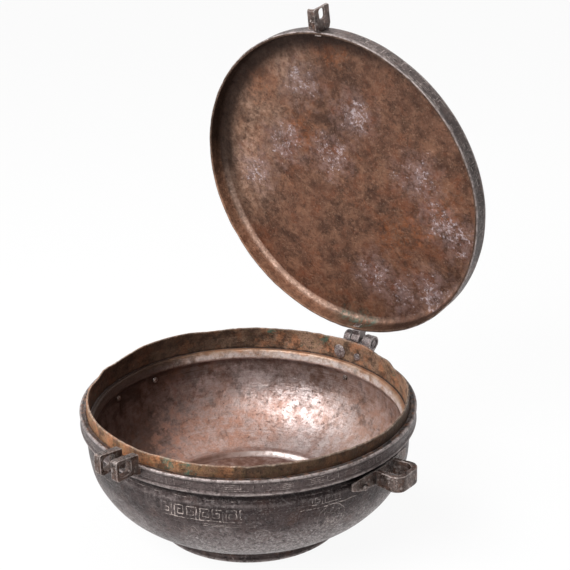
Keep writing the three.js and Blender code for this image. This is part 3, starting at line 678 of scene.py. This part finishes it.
def fret(hooks, turn, height, repeats, bottom, top, line):
    """A row of squared hooks round the piece, between two heights. Each hook faces the next one."""
    rise = spread(height, bottom, top, clamp=False)
    along = sum_of("PINGPONG", times(turn, float(repeats)), 1.0)
    length = 2 * math.pi * BAND_RADIUS / repeats
    strokes = []
    for upright, centre, start, end in hooks:
        across, lengthwise, unit = (along, rise, length) if upright else (rise, along, top - bottom)
        near = within(across, centre, line / unit / 2)
        strokes.append(times(near, within(lengthwise, (start + end) / 2, (end - start) / 2)))
    return sum_of("MAXIMUM", *strokes)


def rings(height, levels, line):
    """Plain lines engraved all the way round at those heights."""
    return sum_of("MAXIMUM", *[within(height, z, line / 2) for z in levels])


def repeated(turn, count, middle):
    """The share of the way through each repeat, where one repeat has its middle at that turn."""
    start = middle - 0.5 / count
    share = scaled(turn, float(count), 1 - start * count % 1)
    return add("Math", {0: share}, operation="FRACT").outputs[0]


def windows(turn, count, middle, width):
    """1 inside evenly spaced stretches of the way round, each that share of a turn wide."""
    return within(repeated(turn, count, middle), 0.5, width * count / 2)


def rosettes(turn, height, count, middle, level_at, radius, line):
    """Roundels with eight petals and a spoked middle, spaced evenly round the belly."""
    span = 2 * math.pi * BELLY_RADIUS / count
    heart = radius * 0.36
    sideways = scaled(repeated(turn, count, middle), span, -span / 2)
    upward = sum_of("SUBTRACT", height, level_at)
    squared = sum_of("ADD", *[times(v, v) for v in (sideways, upward)])
    reach = add("Math", {0: squared}, operation="SQRT").outputs[0]
    angle = times(sum_of("ARCTAN2", upward, sideways), 8.0)
    petal = add("Math", {0: angle}, operation="COSINE").outputs[0]
    edge = scaled(petal, radius * 0.14, radius * 0.62)
    parts = [within(reach, at, line / 2) for at in (radius, edge, heart)]
    spokes = times(within(petal, 1.0, 0.14), sum_of("LESS_THAN", reach, heart))
    return sum_of("MAXIMUM", *parts, spokes)


def bowl_engraving(turn, height):
    def worn(pattern, share, *places):
        shown = [windows(turn, 4, middle, width) for middle, width in places]
        return times(pattern, *shown, share)

    hair, fine, coarse = 0.35 * MM, 0.38 * MM, 0.5 * MM
    low, high = BAND_BOTTOM + 2.4 * MM, LEDGE_HEIGHT - 2.3 * MM
    borders = (LEDGE_HEIGHT - 0.9 * MM, BAND_BOTTOM + 0.9 * MM, 62.2 * MM)
    patterns = (
        worn(fret(LONG_FRET, turn, height, 26, low, high, 0.36 * MM), 0.45),
        worn(fret(KEY_FRET, turn, height, 82, 49.2 * MM, 58 * MM, coarse), 1.0, (0.064, 0.074)),
        worn(fret(KEY_FRET, turn, height, 96, 55.6 * MM, 60.6 * MM, fine), 0.6, (0.18, 0.03)),
        worn(rings(height, (54 * MM,), 0.45 * MM), 0.9, (0.184, 0.06)),
        worn(rings(height, (47.6 * MM, 46.6 * MM), hair), 0.6, (0.09, 0.05)),
        worn(rings(height, borders, hair), 0.3),
        worn(rosettes(turn, height, 4, 0.186, 45 * MM, 8.8 * MM, coarse), 0.45),
        worn(rosettes(turn, height, 15, 0.052, 40 * MM, 4.6 * MM, coarse), 0.35),
    )
    return sum_of("MAXIMUM", *patterns)


def lid_engraving(turn, height):
    low, high = LID_RIM + 3.2 * MM, LID_RIM + 8.2 * MM
    row = fret(LONG_FRET, turn, height, 30, low, high, 0.36 * MM)
    levels = [LID_RIM + at * MM for at in (0.7, 1.9, 2.6, 8.8, 9.6)]
    lines = rings(height, levels, 0.35 * MM)
    return sum_of("MAXIMUM", times(row, 0.6), times(lines, 0.55))


# Cast leaded bronze under a brown-grey patina: a dull, dark, pitted skin that hands have rubbed lighter
# on the edges, lighter low on the belly by wear and a painted reflection, with engraved lines that hold a
# pale, dry deposit.
def patinated_bronze(name, ground, engraving=None, wear=None):
    material, tree, place = new_material(name)
    wrap = add("UVMap", tree=tree, uv_map="wrap").outputs["UV"]
    turn, height_at = add("SeparateXYZ", {"Vector": wrap}).outputs[:2]
    rub, reach = attribute(tree, "rub"), attribute(tree, "reach")
    clouds = patches(place, 24 * MM, 0.32, 0.7, 1.0)
    mottle = patches(place, 3.4 * MM, 0.4, 0.66, 4.0, 9.0, 0.68)
    grit = patches(place, 0.9 * MM, 0.42, 0.62, 7.0, 4.0, 0.6)
    pits = patches(place, 1.6 * MM, 0.55, 0.68, 37.0, 5.0, 0.6)
    stains = patches(place, 10 * MM, 0.5, 0.66, 2.5, 9.0, 0.64)
    ruddy = patches(place, 12 * MM, 0.52, 0.68, 12.0, 8.0, 0.6)
    flecks = patches(place, 2 * MM, 0.56, 0.64, 38.0, 8.0, 0.76)
    marks = turning_marks(place, sum_of("ADD", height_at, reach), 0.5 * MM)
    spotty = level(patches(place, 3.2 * MM, 0.36, 0.6, 9.0, 7.0, 0.65), 0.12, 1.0)
    shade = layered(
        ground[0],
        (ground[1], clouds),
        (ground[2], mottle, 0.55),
        ("#6b4838", ruddy, 0.35),
        ("#181213", stains, 0.55),
        ("#8f8280", marks, 0.22),
        ("#aa9e9a", flecks, 0.5),
    )
    # Belly wear, with painted shade, a painted reflection and a painted highlight
    if wear:
        shade = wear(shade, place, turn, reach, grit)
    shade = layered(
        shade,
        ("#b3a7a4", spread(rub, 0.1, 0.6), spotty, 0.85),
        ("#120d0e", spread(rub, -0.08, -0.4), 0.85),
        ("#141011", pits, 0.7),
    )
    rough = level(mottle, 0.36, 0.52)
    height = sum_of("ADD", mottle, times(grit, 0.4), times(marks, 0.25))
    height = sum_of("SUBTRACT", height, times(pits, 1.2))
    if engraving:
        moved = shaken(place, height_at, 4 * MM, 0.45 * MM)
        swayed = shaken(place, turn, 5 * MM, 0.0009)
        lines = engraving(swayed, moved)
        whole = patches(place, 9 * MM, 0.4, 0.58, 23.0, 7.0, 0.62)
        chips = patches(place, 2 * MM, 0.42, 0.56, 24.0, 6.0, 0.65)
        left = times(level(whole, 0.12, 1.0), level(chips, 0.1, 1.1))
        deposit = times(lines, left)
        shade = layered(shade, ("#cdbfb8", deposit))
        height = sum_of("SUBTRACT", height, times(lines, 1.6))
        rough = sum_of("MAXIMUM", rough, times(deposit, 0.6))
    return finish_metal(material, shade, rough, 0.78, height, 0.24 * MM)


def belly_wear_and_painted_light(shade, place, turn, reach, grit):
    """Grime and painted shade under the band, a painted dark gap on the ledge, runs below the hasp, a
    lighter band, wear and a painted reflection low on the belly with bright specks, and a painted highlight
    above the foot.
    """
    up = add("SeparateXYZ", {"Vector": place}).outputs["Z"]
    # Patina grime and painted shade under the band's overhang
    grime_and_shade_top = spread(up, BAND_BOTTOM + 0.2 * MM, BAND_BOTTOM - 0.8 * MM)
    grime_and_shade = times(spread(up, BELLY_LEVEL - 17 * MM, BELLY_LEVEL - 1 * MM), grime_and_shade_top)
    band = spread(up, BAND_BOTTOM - 0.3 * MM, BAND_BOTTOM + 0.7 * MM)
    # The ledge between collar and band: painted shade of the gap, with rust over it
    ledge = times(
        spread(up, LEDGE_HEIGHT - 1.1 * MM, LEDGE_HEIGHT - 0.6 * MM),
        spread(reach, BAND_RADIUS - 0.5 * MM, BAND_RADIUS - 0.9 * MM),
    )
    rust = patches(place, 4 * MM, 0.46, 0.6, 71.0, 8.0, 0.7)
    around = times(turn, 2 * math.pi * BELLY_RADIUS)
    where = add("CombineXYZ", {"X": around, "Y": times(up, 0.1)}).outputs["Vector"]
    runs = patches(where, 3 * MM, 0.42, 0.54, 29.0, 3.0)
    below_hasp = windows(turn, 1, 0.024, 0.036)
    below_band = between(up, 53 * MM, 60 * MM, 5 * MM)
    # Lighter low on the belly: wear and a painted reflection of the pale table below
    low = spread(shaken(place, up, 14 * MM, 6 * MM), 47 * MM, 24 * MM)
    low = times(low, level(spread(turn, 0.08, 0.03), 1.0, 0.4))
    fine = patches(place, 3 * MM, 0.42, 0.58, 15.0, 9.0, 0.78)
    specks = patches(place, 1.6 * MM, 0.51, 0.59, 17.0, 8.0, 0.8)
    thick = level(patches(place, 15 * MM, 0.4, 0.6, 41.0, 6.0), 0.4, 1.0)
    holes = patches(place, 2.6 * MM, 0.52, 0.6, 18.0, 8.0, 0.75)
    # A painted highlight line just above the foot
    foot_highlight = between(up, 8.6 * MM, 10.6 * MM, 1 * MM)
    return layered(
        shade,
        ("#1b1414", grime_and_shade, 0.5),
        ("#645856", band, 0.45),
        ("#1d1512", ledge, 0.9),
        ("#8a5c3e", ledge, rust, 0.7),
        ("#766a68", runs, below_hasp, below_band, 0.35),
        ("#8f8280", low, 0.7),
        ("#bfb4b2", low, fine, 0.75),
        ("#ece6e4", specks, level(low, 0.15, 1.0), thick, 0.9),
        ("#2c2223", holes, level(low, 0.4, 0.9)),
        ("#261d1d", level(low, 0.2, 1.0), sum_of("SUBTRACT", 1.0, grit), 0.5),
        ("#ddd4d0", foot_highlight, level(fine, 0.3, 1.0)),
    )


# Hammered copper-rich bronze, once tinned: silvery pink film over warm copper, with dark spots where
# the tin has gone, soot and painted shade below the ridge, painted shade on the left wall and in the
# floor's crease, a painted highlight on the floor step, and short, fine scouring marks.
def worn_tinning():
    material, tree, place = new_material("worn_tinning_over_bronze")
    across, deep, up = add("SeparateXYZ", {"Vector": place}).outputs[:3]
    reach = attribute(tree, "reach")
    # Grows from the hasp's left to the hinge's right
    sideways = sum_of("ADD", times(across, 0.79), times(deep, 0.61))

    def aside(start, end):
        return spread(sideways, start * MM, end * MM)

    clouds = patches(place, 30 * MM, 0.34, 0.66, 3.0, 8.0)
    film = patches(place, 6 * MM, 0.38, 0.62, 6.0, 10.0, 0.7)
    copper = patches(place, 24 * MM, 0.46, 0.64, 18.0, 9.0, 0.6)
    spots = patches(place, 1.8 * MM, 0.58, 0.66, 11.0, 7.0, 0.66)
    stains = patches(place, 8 * MM, 0.49, 0.62, 14.0, 11.0, 0.7)
    grain = patches(place, 1.1 * MM, 0.4, 0.62, 5.0, 4.0, 0.6)
    marks = turning_marks(place, up, 0.7 * MM)
    cool = times(spread(up, 28 * MM, 40 * MM), aside(-20, 10))
    copper = times(copper, level(cool, 1.0, 0.25))
    right = aside(36, 76)
    left_low = times(aside(46, -10), spread(up, 50 * MM, 24 * MM))
    high = spread(up, 22 * MM, 40 * MM)
    ragged = sum_of("ADD", up, level(clouds, 9 * MM, -9 * MM), level(film, 4 * MM, -4 * MM))
    # Soot and painted shade on the upper wall below the ridge
    soot_and_shade = times(
        spread(ragged, 43 * MM, 57 * MM),
        spread(up, WAIST_LEVEL, WAIST_LEVEL - 2.5 * MM),
        level(right, 1.0, 0.6),
    )
    # Painted shade on the left of the inner wall
    painted_shade_left = sum_of("ADD", sideways, level(film, 9 * MM, -9 * MM), times(up, -0.3))
    painted_shade_left = spread(painted_shade_left, -50 * MM, -74 * MM)
    flat = spread(reach, FLOOR_SHELF + 0.6 * MM, FLOOR_SHELF - 0.4 * MM)
    # A painted highlight on the floor step, towards the back
    floor_highlight = between(reach, FLOOR_SHELF - 2.8 * MM, FLOOR_SHELF - 0.2 * MM, 0.8 * MM)
    bare = patches(place, 7 * MM, 0.36, 0.56, 66.0, 9.0, 0.7)
    # A ring at the floor step, darkened on the left as painted shade in its crease
    edge = between(reach, FLOOR_SHELF - 3.4 * MM, FLOOR_SHELF + 0.6 * MM, 1.2 * MM)
    shoulder = between(up, WAIST_LEVEL + 0.1 * MM, COLLAR_SEAT + 0.4 * MM, 1.4 * MM)
    shade = layered(
        "#836b64",
        ("#a99a97", clouds),
        ("#d2caca", film, 0.5),
        ("#83675d", copper, 0.5),
        ("#b58f7c", right, level(film, 0.85, 0.45)),
        ("#bd8b75", left_low, level(film, 0.85, 0.5)),
        ("#4b3830", stains, level(high, 0.35, 0.7)),
        ("#2b201d", spots, 0.65),
        ("#44352f", grain, 0.22),
        ("#49352b", soot_and_shade, 0.7),
        ("#94705d", soot_and_shade, copper, 0.5),
        ("#d2c7c4", marks, film, 0.3),
        ("#6d4d40", flat, level(film, 0.9, 0.3)),
        ("#ddd3d0", floor_highlight, bare, aside(-26, 16), 0.8),
        ("#6f5246", edge, aside(14, -22), 0.7),
    )
    shade = ridge_wear(shade, place, up, shoulder)
    shade = layered(
        shade,
        # Painted shade over the shoulder's left and over the left wall
        ("#38271d", shoulder, aside(-40, -62), 0.8),
        ("#2a1a12", painted_shade_left, 0.75),
    )
    rough = level(film, 0.46, 0.34)
    rough = sum_of("MAXIMUM", rough, times(stains, 0.55), times(soot_and_shade, 0.6))
    dull = ((shoulder, 0.5), (right, 0.3), (left_low, 0.5), (flat, 0.15))
    dull = sum_of("MAXIMUM", *[times(mask, share) for mask, share in dull])
    height = sum_of("SUBTRACT", film, spots, times(grain, 0.4))
    height = sum_of("ADD", height, times(marks, 0.3))
    return finish_metal(material, shade, rough, sum_of("SUBTRACT", 0.9, dull), height, 0.1 * MM)


def ridge_wear(shade, place, up, shoulder):
    """The shoulder under the collar: tan and orange, with a broken pale line along its crown, partly rubbed
    and partly a painted highlight.
    """
    tan = patches(place, 7 * MM, 0.36, 0.58, 51.0, 9.0, 0.7)
    orange = patches(place, 9 * MM, 0.48, 0.62, 52.0, 8.0, 0.68)
    wobbly = shaken(place, up, 7 * MM, 0.9 * MM)
    # Along the crown: rubbed metal and a painted highlight
    crown_rub_and_highlight = between(wobbly, WAIST_LEVEL - 0.3 * MM, WAIST_LEVEL + 2.3 * MM, 1.6 * MM)
    bare = patches(place, 5 * MM, 0.38, 0.56, 53.0, 10.0, 0.74)
    dark = patches(place, 6 * MM, 0.5, 0.6, 54.0, 10.0, 0.74)
    seat = spread(up, COLLAR_SEAT - 1.3 * MM, COLLAR_SEAT - 0.1 * MM)
    return layered(
        shade,
        ("#a78972", shoulder, 0.85),
        ("#c9b3a2", shoulder, tan, 0.85),
        ("#b07b58", shoulder, orange, 0.6),
        ("#e0d5d1", crown_rub_and_highlight, bare, 0.9),
        ("#4a382e", shoulder, dark, 0.45),
        ("#8a6247", seat, 0.7),
    )


def on_lid(*places):
    """Places on the inside of the open lid, each given in mm to the right and above its middle."""
    roof = LID_TOP - LID_WALL
    return [TO_OPEN @ Vector((right * MM, AXIS_Y - above * MM, roof)) for right, above in places]


# Where flecks of tin remain inside the lid, and where the sheet is tan, orange or green
TIN_PLACES = on_lid(
    *((-44, 20), (-8, 17), (-72, -4), (-26, 62), (12, 46), (54, 12)),
    *((68, -14), (79, -22), (18, -60), (38, -74), (60, -62)),
)
TAN_PLACES = on_lid((-66, 44), (-82, 8), (-84, -14), (-42, 76))
ORANGE_PLACES = on_lid((-58, 58), (-2, 86), (70, -4), (52, -24), (-30, 30), (34, -32))
GREEN_PLACES = on_lid((-5, -98), (9, -98))


# Inside of the lid: hammered sheet gone mottled brown, with copper-red patches and remnants of tin,
# a painted shadow of the skirt on the upper left, painted shade on the inner skirt and towards the top,
# and a painted highlight along the lower left corner.
def mottled_sheet():
    material, tree, place = new_material("mottled_brown_bronze_sheet")
    across, _, up = add("SeparateXYZ", {"Vector": place}).outputs[:3]
    reach, rub = attribute(tree, "reach"), attribute(tree, "rub")
    # Heights on the open lid
    low, half_way, top = 165 * MM, 205 * MM, 275 * MM
    ragged = stirred(place, 9 * MM, 5 * MM)
    clouds = patches(place, 28 * MM, 0.34, 0.66, 2.0, 9.0)
    mottle = patches(place, 5.5 * MM, 0.4, 0.62, 5.0, 11.0, 0.75)
    copper = patches(place, 14 * MM, 0.48, 0.64, 8.0, 11.0, 0.7)
    dark = patches(place, 10 * MM, 0.47, 0.62, 16.0, 11.0, 0.72)
    pale = patches(place, 12 * MM, 0.47, 0.62, 36.0, 11.0, 0.7)
    specks = patches(place, 1.4 * MM, 0.54, 0.66, 13.0, 6.0, 0.65)
    bright = patches(place, 1.3 * MM, 0.55, 0.64, 33.0, 6.0, 0.65)
    grain = patches(place, 4 * MM, 0.44, 0.58, 21.0, 11.0, 0.76)
    fine = cloud(place, 1.9 * MM, 43.0, 9.0, 0.75)
    tan = spots_at(ragged, TAN_PLACES, 34 * MM)
    orange = spots_at(ragged, ORANGE_PLACES, 18 * MM)
    green = spots_at(ragged, GREEN_PLACES, 11 * MM)
    haze = spots_at(ragged, TIN_PLACES, 21 * MM)
    tin = sum_of("ADD", fine, level(haze, -0.12, 0.05), level(pale, -0.03, 0.05))
    tin = spread(tin, 0.56, 0.65)
    # Painted shadow of the skirt over the upper left of the inside, in a soft band near the rim
    shadowed_upper_left = sum_of("SUBTRACT", times(up, 0.75), times(across, 0.66))
    shadowed_upper_left = spread(shadowed_upper_left, 150 * MM, 205 * MM)
    # The lower left, where painted light falls on the corner and the skirt
    lit_lower_left = times(spread(across, 34 * MM, -36 * MM), spread(up, half_way, low))
    shadow_band = shaken(place, reach, 16 * MM, 1.5 * MM)
    shadow_band = spread(shadow_band, BAND_RADIUS - 17 * MM, BAND_RADIUS - 9 * MM)
    side = spread(reach, BAND_RADIUS - 2.8 * MM, BAND_RADIUS - 1.9 * MM)
    crease = between(reach, BAND_RADIUS - 5.6 * MM, BAND_RADIUS - 3.4 * MM, 1.4 * MM)
    # A painted highlight along the inner corner on the lower left
    crease_highlight = times(crease, level(lit_lower_left, 0.1, 1.0), level(mottle, 0.35, 1.0))
    shade = layered(
        "#442c21",
        ("#694636", clouds),
        ("#8b6550", mottle, 0.55),
        ("#834b30", copper, 0.5),
        ("#986f57", pale, 0.5),
        ("#b2907b", tan, level(grain, 0.25, 1.0), 0.8),
        ("#935734", orange, grain, 0.7),
        ("#382319", dark, 0.55),
        ("#2b1e19", specks, 0.5),
        ("#a98872", bright, 0.35),
        ("#9a8280", haze, level(mottle, 0.1, 1.0), 0.55),
        ("#d0c2c6", tin, 0.75),
        ("#e0c0ad", crease_highlight, 0.9),
        ("#211510", shadowed_upper_left, shadow_band, 0.85),
        # Painted shade, darker towards the top of the open lid
        ("#34221a", spread(up, half_way, top), 0.35),
        # The inner skirt in painted shade, except on the lower left, where it is copper in painted light
        ("#3a291f", side, level(lit_lower_left, 0.85, 0.15)),
        ("#b58a70", side, lit_lower_left, level(grain, 0.4, 1.0), 0.8),
        ("#41685e", green, grain, 0.8),
        ("#8f7565", spread(rub, 0.2, 0.8), level(mottle, 0.1, 1.0), 0.6),
    )
    rough = level(mottle, 0.64, 0.46)
    rough = sum_of("SUBTRACT", rough, times(tin, 0.12), times(crease_highlight, 0.1))
    height = sum_of("SUBTRACT", mottle, times(specks, 0.7))
    return finish_metal(material, shade, rough, 0.66, height, 0.26 * MM)


# Collar: thin sheet, orange-brown with ochre grain, green copper salts in places, and painted shade on one
# side.
def corroded_sheet(name, tones, shaded_side, green_places, green_radius):
    material, tree, place = new_material(name)
    across = add("SeparateXYZ", {"Vector": place}).outputs["X"]
    ground, light_tone, ochre_tone, orange_tone, shade_tone = tones
    clouds = patches(place, 13 * MM, 0.34, 0.64, 3.5, 9.0, 0.6)
    ochre = patches(place, 2.6 * MM, 0.44, 0.6, 9.5, 9.0, 0.74)
    orange = patches(place, 9 * MM, 0.48, 0.6, 61.0, 9.0, 0.68)
    dark = patches(place, 6 * MM, 0.47, 0.6, 6.5, 10.0, 0.74)
    grit = patches(place, 0.8 * MM, 0.44, 0.62, 19.0, 4.0)
    salts = patches(place, 10 * MM, 0.63, 0.68, 27.0, 9.0, 0.68)
    shaded = sum_of("ADD", across, level(clouds, -10 * MM, 10 * MM))
    near = spots_at(stirred(place, 5 * MM, 2 * MM), green_places, green_radius)
    near = sum_of("ADD", level(near, -0.14, 0.06), cloud(place, 2.2 * MM, 62.0, 8.0, 0.7))
    green = sum_of("MAXIMUM", salts, spread(near, 0.5, 0.56))
    edge = spread(attribute(tree, "rub"), 0.35, 0.9)
    shade = layered(
        ground,
        (light_tone, clouds),
        (ochre_tone, ochre, 0.5),
        (orange_tone, orange, 0.7),
        ("#33241c", dark, 0.7),
        ("#231813", grit, 0.35),
        # One side of the collar is darker: painted shade
        (shade_tone, spread(shaded, *shaded_side), 0.75),
        ("#2c5a4c", green, level(ochre, 0.5, 0.95)),
        ("#b7a394", edge, level(ochre, 0.3, 1.0), 0.75),
    )
    rough = level(clouds, 0.5, 0.68)
    metallic = level(green, 0.65, 0.1)
    height = sum_of("ADD", ochre, times(green, 0.8), times(grit, 0.4))
    return finish_metal(material, shade, rough, metallic, height, 0.22 * MM)


# Forged bronze that is rubbed bright on its corners, with dark grime in its hollows.
def forged_bronze(name, ground, rubbed, warmth):
    material, tree, place = new_material(name)
    clouds = patches(place, 6 * MM, 0.36, 0.64, 2.0, 8.0, 0.62)
    grit = patches(place, 0.8 * MM, 0.42, 0.62, 4.0, 5.0)
    warm = patches(place, 5 * MM, 0.46, 0.62, 7.0, 8.0, 0.64)
    scuffs = patches(place, 2 * MM, 0.52, 0.64, 14.0, 8.0, 0.72)
    bend = add("NewGeometry", tree=tree).outputs["Pointiness"]
    shade = layered(
        ground[0],
        (ground[1], clouds),
        ("#7d5440", warm, warmth),
        ("#1f1717", grit, 0.45),
        (rubbed, scuffs, 0.5),
        (rubbed, spread(bend, 0.51, 0.56), level(clouds, 0.5, 1.0), 0.95),
        ("#110c0c", spread(bend, 0.49, 0.445), 0.92),
    )
    rough = level(clouds, 0.26, 0.44)
    height = sum_of("ADD", grit, scuffs)
    return finish_metal(material, shade, rough, 0.88, height, 0.16 * MM)


cast_tones = ("#2b2121", "#453736", "#6f605e")
foot_tones = ("#1f1819", "#362b2a", "#5c4f4c")
lid_tones = ("#281f1d", "#463a37", "#6b5e5a")
outside_bronze = patinated_bronze("patinated_cast_bronze_engraved", cast_tones, bowl_engraving, belly_wear_and_painted_light)
plain_bronze = patinated_bronze("patinated_cast_bronze_plain", foot_tones)
lid_bronze = patinated_bronze("patinated_sheet_bronze_engraved", lid_tones, lid_engraving)
tinning = worn_tinning()
lid_inside = mottled_sheet()
collar_outside = corroded_sheet(
    "corroded_bronze_sheet_orange",
    ("#7a5642", "#b08467", "#a88c5f", "#b97c54", "#2c211a"),
    (30 * MM, 60 * MM),
    ((0.020, -0.092, 0.0815), (0.031, -0.089, 0.079)),
    6.5 * MM,
)
collar_inside = corroded_sheet(
    "corroded_bronze_sheet_brown",
    ("#745a4a", "#b3917b", "#ab9070", "#bf845f", "#35271f"),
    (-30 * MM, -72 * MM),
    ((-0.046, 0.084, 0.082), (-0.012, 0.096, 0.080), (0.052, 0.080, 0.078)),
    6 * MM,
)
dark_forged = forged_bronze("forged_bronze_dark", ("#463b36", "#7c6d67"), "#d2c6c1", 0.4)
bright_forged = forged_bronze("forged_bronze_rubbed", ("#655a5a", "#a39897"), "#e2d9d6", 0.15)


def give(piece, slot, *materials):
    for material in materials:
        piece.data.materials.append(material)


give(bowl_wall, "dark_bronze", outside_bronze, tinning)
give(foot, "dark_bronze", plain_bronze)
give(collar, "coppery_bronze", collar_outside, collar_inside)
give(lid, "lid_bronze", lid_inside, lid_bronze)
for piece in dark_pieces:
    give(piece, "worn_bronze" if "rivet" in piece.name else "dark_bronze", dark_forged)
for piece in bright_pieces:
    give(piece, "worn_bronze", bright_forged)
give(lid_pieces[0], "worn_bronze", bright_forged)
give(lid_pieces[1], "dark_bronze", dark_forged)


# Stage: floor, world, lamps and a screen
def square(name, size, material):
    """A flat square of the stage about the origin, facing up."""
    half = size / 2
    corners = [(-half, -half, 0), (half, -half, 0), (half, half, 0), (-half, half, 0)]
    mesh = bpy.data.meshes.new(name)
    mesh.from_pydata(corners, [], [(0, 1, 2, 3)])
    mesh.materials.append(material)
    return placed(name, mesh)


def plain_rays(tree):
    """1 for what the camera sees directly, in gloss or through glass, and 0 for the light that falls."""
    rays = add("LightPath", tree=tree).outputs
    kinds = ("Is Camera Ray", "Is Glossy Ray", "Is Transmission Ray")
    return sum_of("MAXIMUM", *[rays[kind] for kind in kinds])


def white_floor():
    """White for the camera and for gloss, with a faint shadow."""
    material, tree, _ = new_material("white_table")
    shader = tree.nodes["Principled BSDF"]
    plug(shader, {"Base Color": (0.82, 0.82, 0.82, 1), "Roughness": 0.9})
    glow = add("Emission", {"Color": (1, 1, 1, 1), "Strength": 1.0}, tree)
    share = times(plain_rays(tree), 0.93)
    mixed = add("MixShader", {"Fac": share, 1: shader.outputs["BSDF"], 2: glow.outputs["Emission"]})
    plug(tree.nodes["Material Output"], {"Surface": mixed.outputs["Shader"]})
    floor = square("floor", 8.0, material)
    floor.location.z = -0.3 * MM


def soft_lamp(name, place, target, size, watts):
    lamp = bpy.data.lights.new(name, "AREA")
    lamp.shape = "DISK"
    lamp.size = size
    lamp.energy = watts
    holder = placed(name, lamp)
    holder.location = place
    holder.rotation_euler = (Vector(target) - Vector(place)).to_track_quat("-Z", "Y").to_euler()


def pale_world():
    world = bpy.data.worlds.new("studio")
    bpy.context.scene.world = world
    world.use_nodes = True
    tree = world.node_tree
    tree.nodes.clear()
    strength = level(plain_rays(tree), 0.5, 1.0)
    light = add("Background", {"Color": (1, 1, 1, 1), "Strength": strength})
    add("OutputWorld", {"Surface": light.outputs["Background"]})


def dark_screen(name, place, target, size):
    """A dark studio screen outside the picture, seen only in the metal."""
    material, tree, _ = new_material("dark_felt")
    felt = {"Base Color": (0.02, 0.018, 0.016, 1), "Roughness": 1.0}
    plug(tree.nodes["Principled BSDF"], felt)
    screen = square(name, size, material)
    facing = (Vector(target) - Vector(place)).to_track_quat("-Z", "Y")
    screen.matrix_world = Matrix.Translation(place) @ facing.to_matrix().to_4x4()
    screen.visible_camera = False
    screen.visible_shadow = False


white_floor()
pale_world()
soft_lamp("key", (-0.12, -0.8, 0.74), (0, 0.04, 0.06), 0.72, 14)
soft_lamp("top", (-0.16, 0.3, 1.1), (0, 0, 0.02), 0.4, 5)
dark_screen("screen_right", (0.9, -0.02, 0.42), (0, 0, 0.05), 1.3)

# Camera, at the photograph's viewing angle
VIEW_AZIMUTH = math.radians(37.49)
VIEW_ELEVATION = math.radians(20.88)
VIEW_ROLL = math.radians(-0.447)
VIEW_DISTANCE = 799.6 * MM
VIEW_RIGHT = 21.68 * MM
VIEW_UP = 67.66 * MM
VIEW_LENS = 84.8


def photo_camera():
    back = Vector(
        (
            math.sin(VIEW_AZIMUTH) * math.cos(VIEW_ELEVATION),
            -math.cos(VIEW_AZIMUTH) * math.cos(VIEW_ELEVATION),
            math.sin(VIEW_ELEVATION),
        )
    )
    right = Vector((math.cos(VIEW_AZIMUTH), math.sin(VIEW_AZIMUTH), 0))
    up = back.cross(right)
    turn, lean = math.cos(VIEW_ROLL), math.sin(VIEW_ROLL)
    right, up = turn * right + lean * up, turn * up - lean * right
    data = bpy.data.cameras.new("camera")
    data.sensor_width = 36
    data.lens = VIEW_LENS
    camera = placed("camera", data)
    rim_centre = Vector((0, AXIS_Y, LEDGE_HEIGHT))
    place = rim_centre + back * VIEW_DISTANCE + right * VIEW_RIGHT + up * VIEW_UP
    turn = Matrix((right, up, back)).transposed().to_4x4()
    camera.matrix_world = Matrix.Translation(place) @ turn
    bpy.context.scene.camera = camera


photo_camera()
bpy.context.scene.view_settings.view_transform = "Standard"
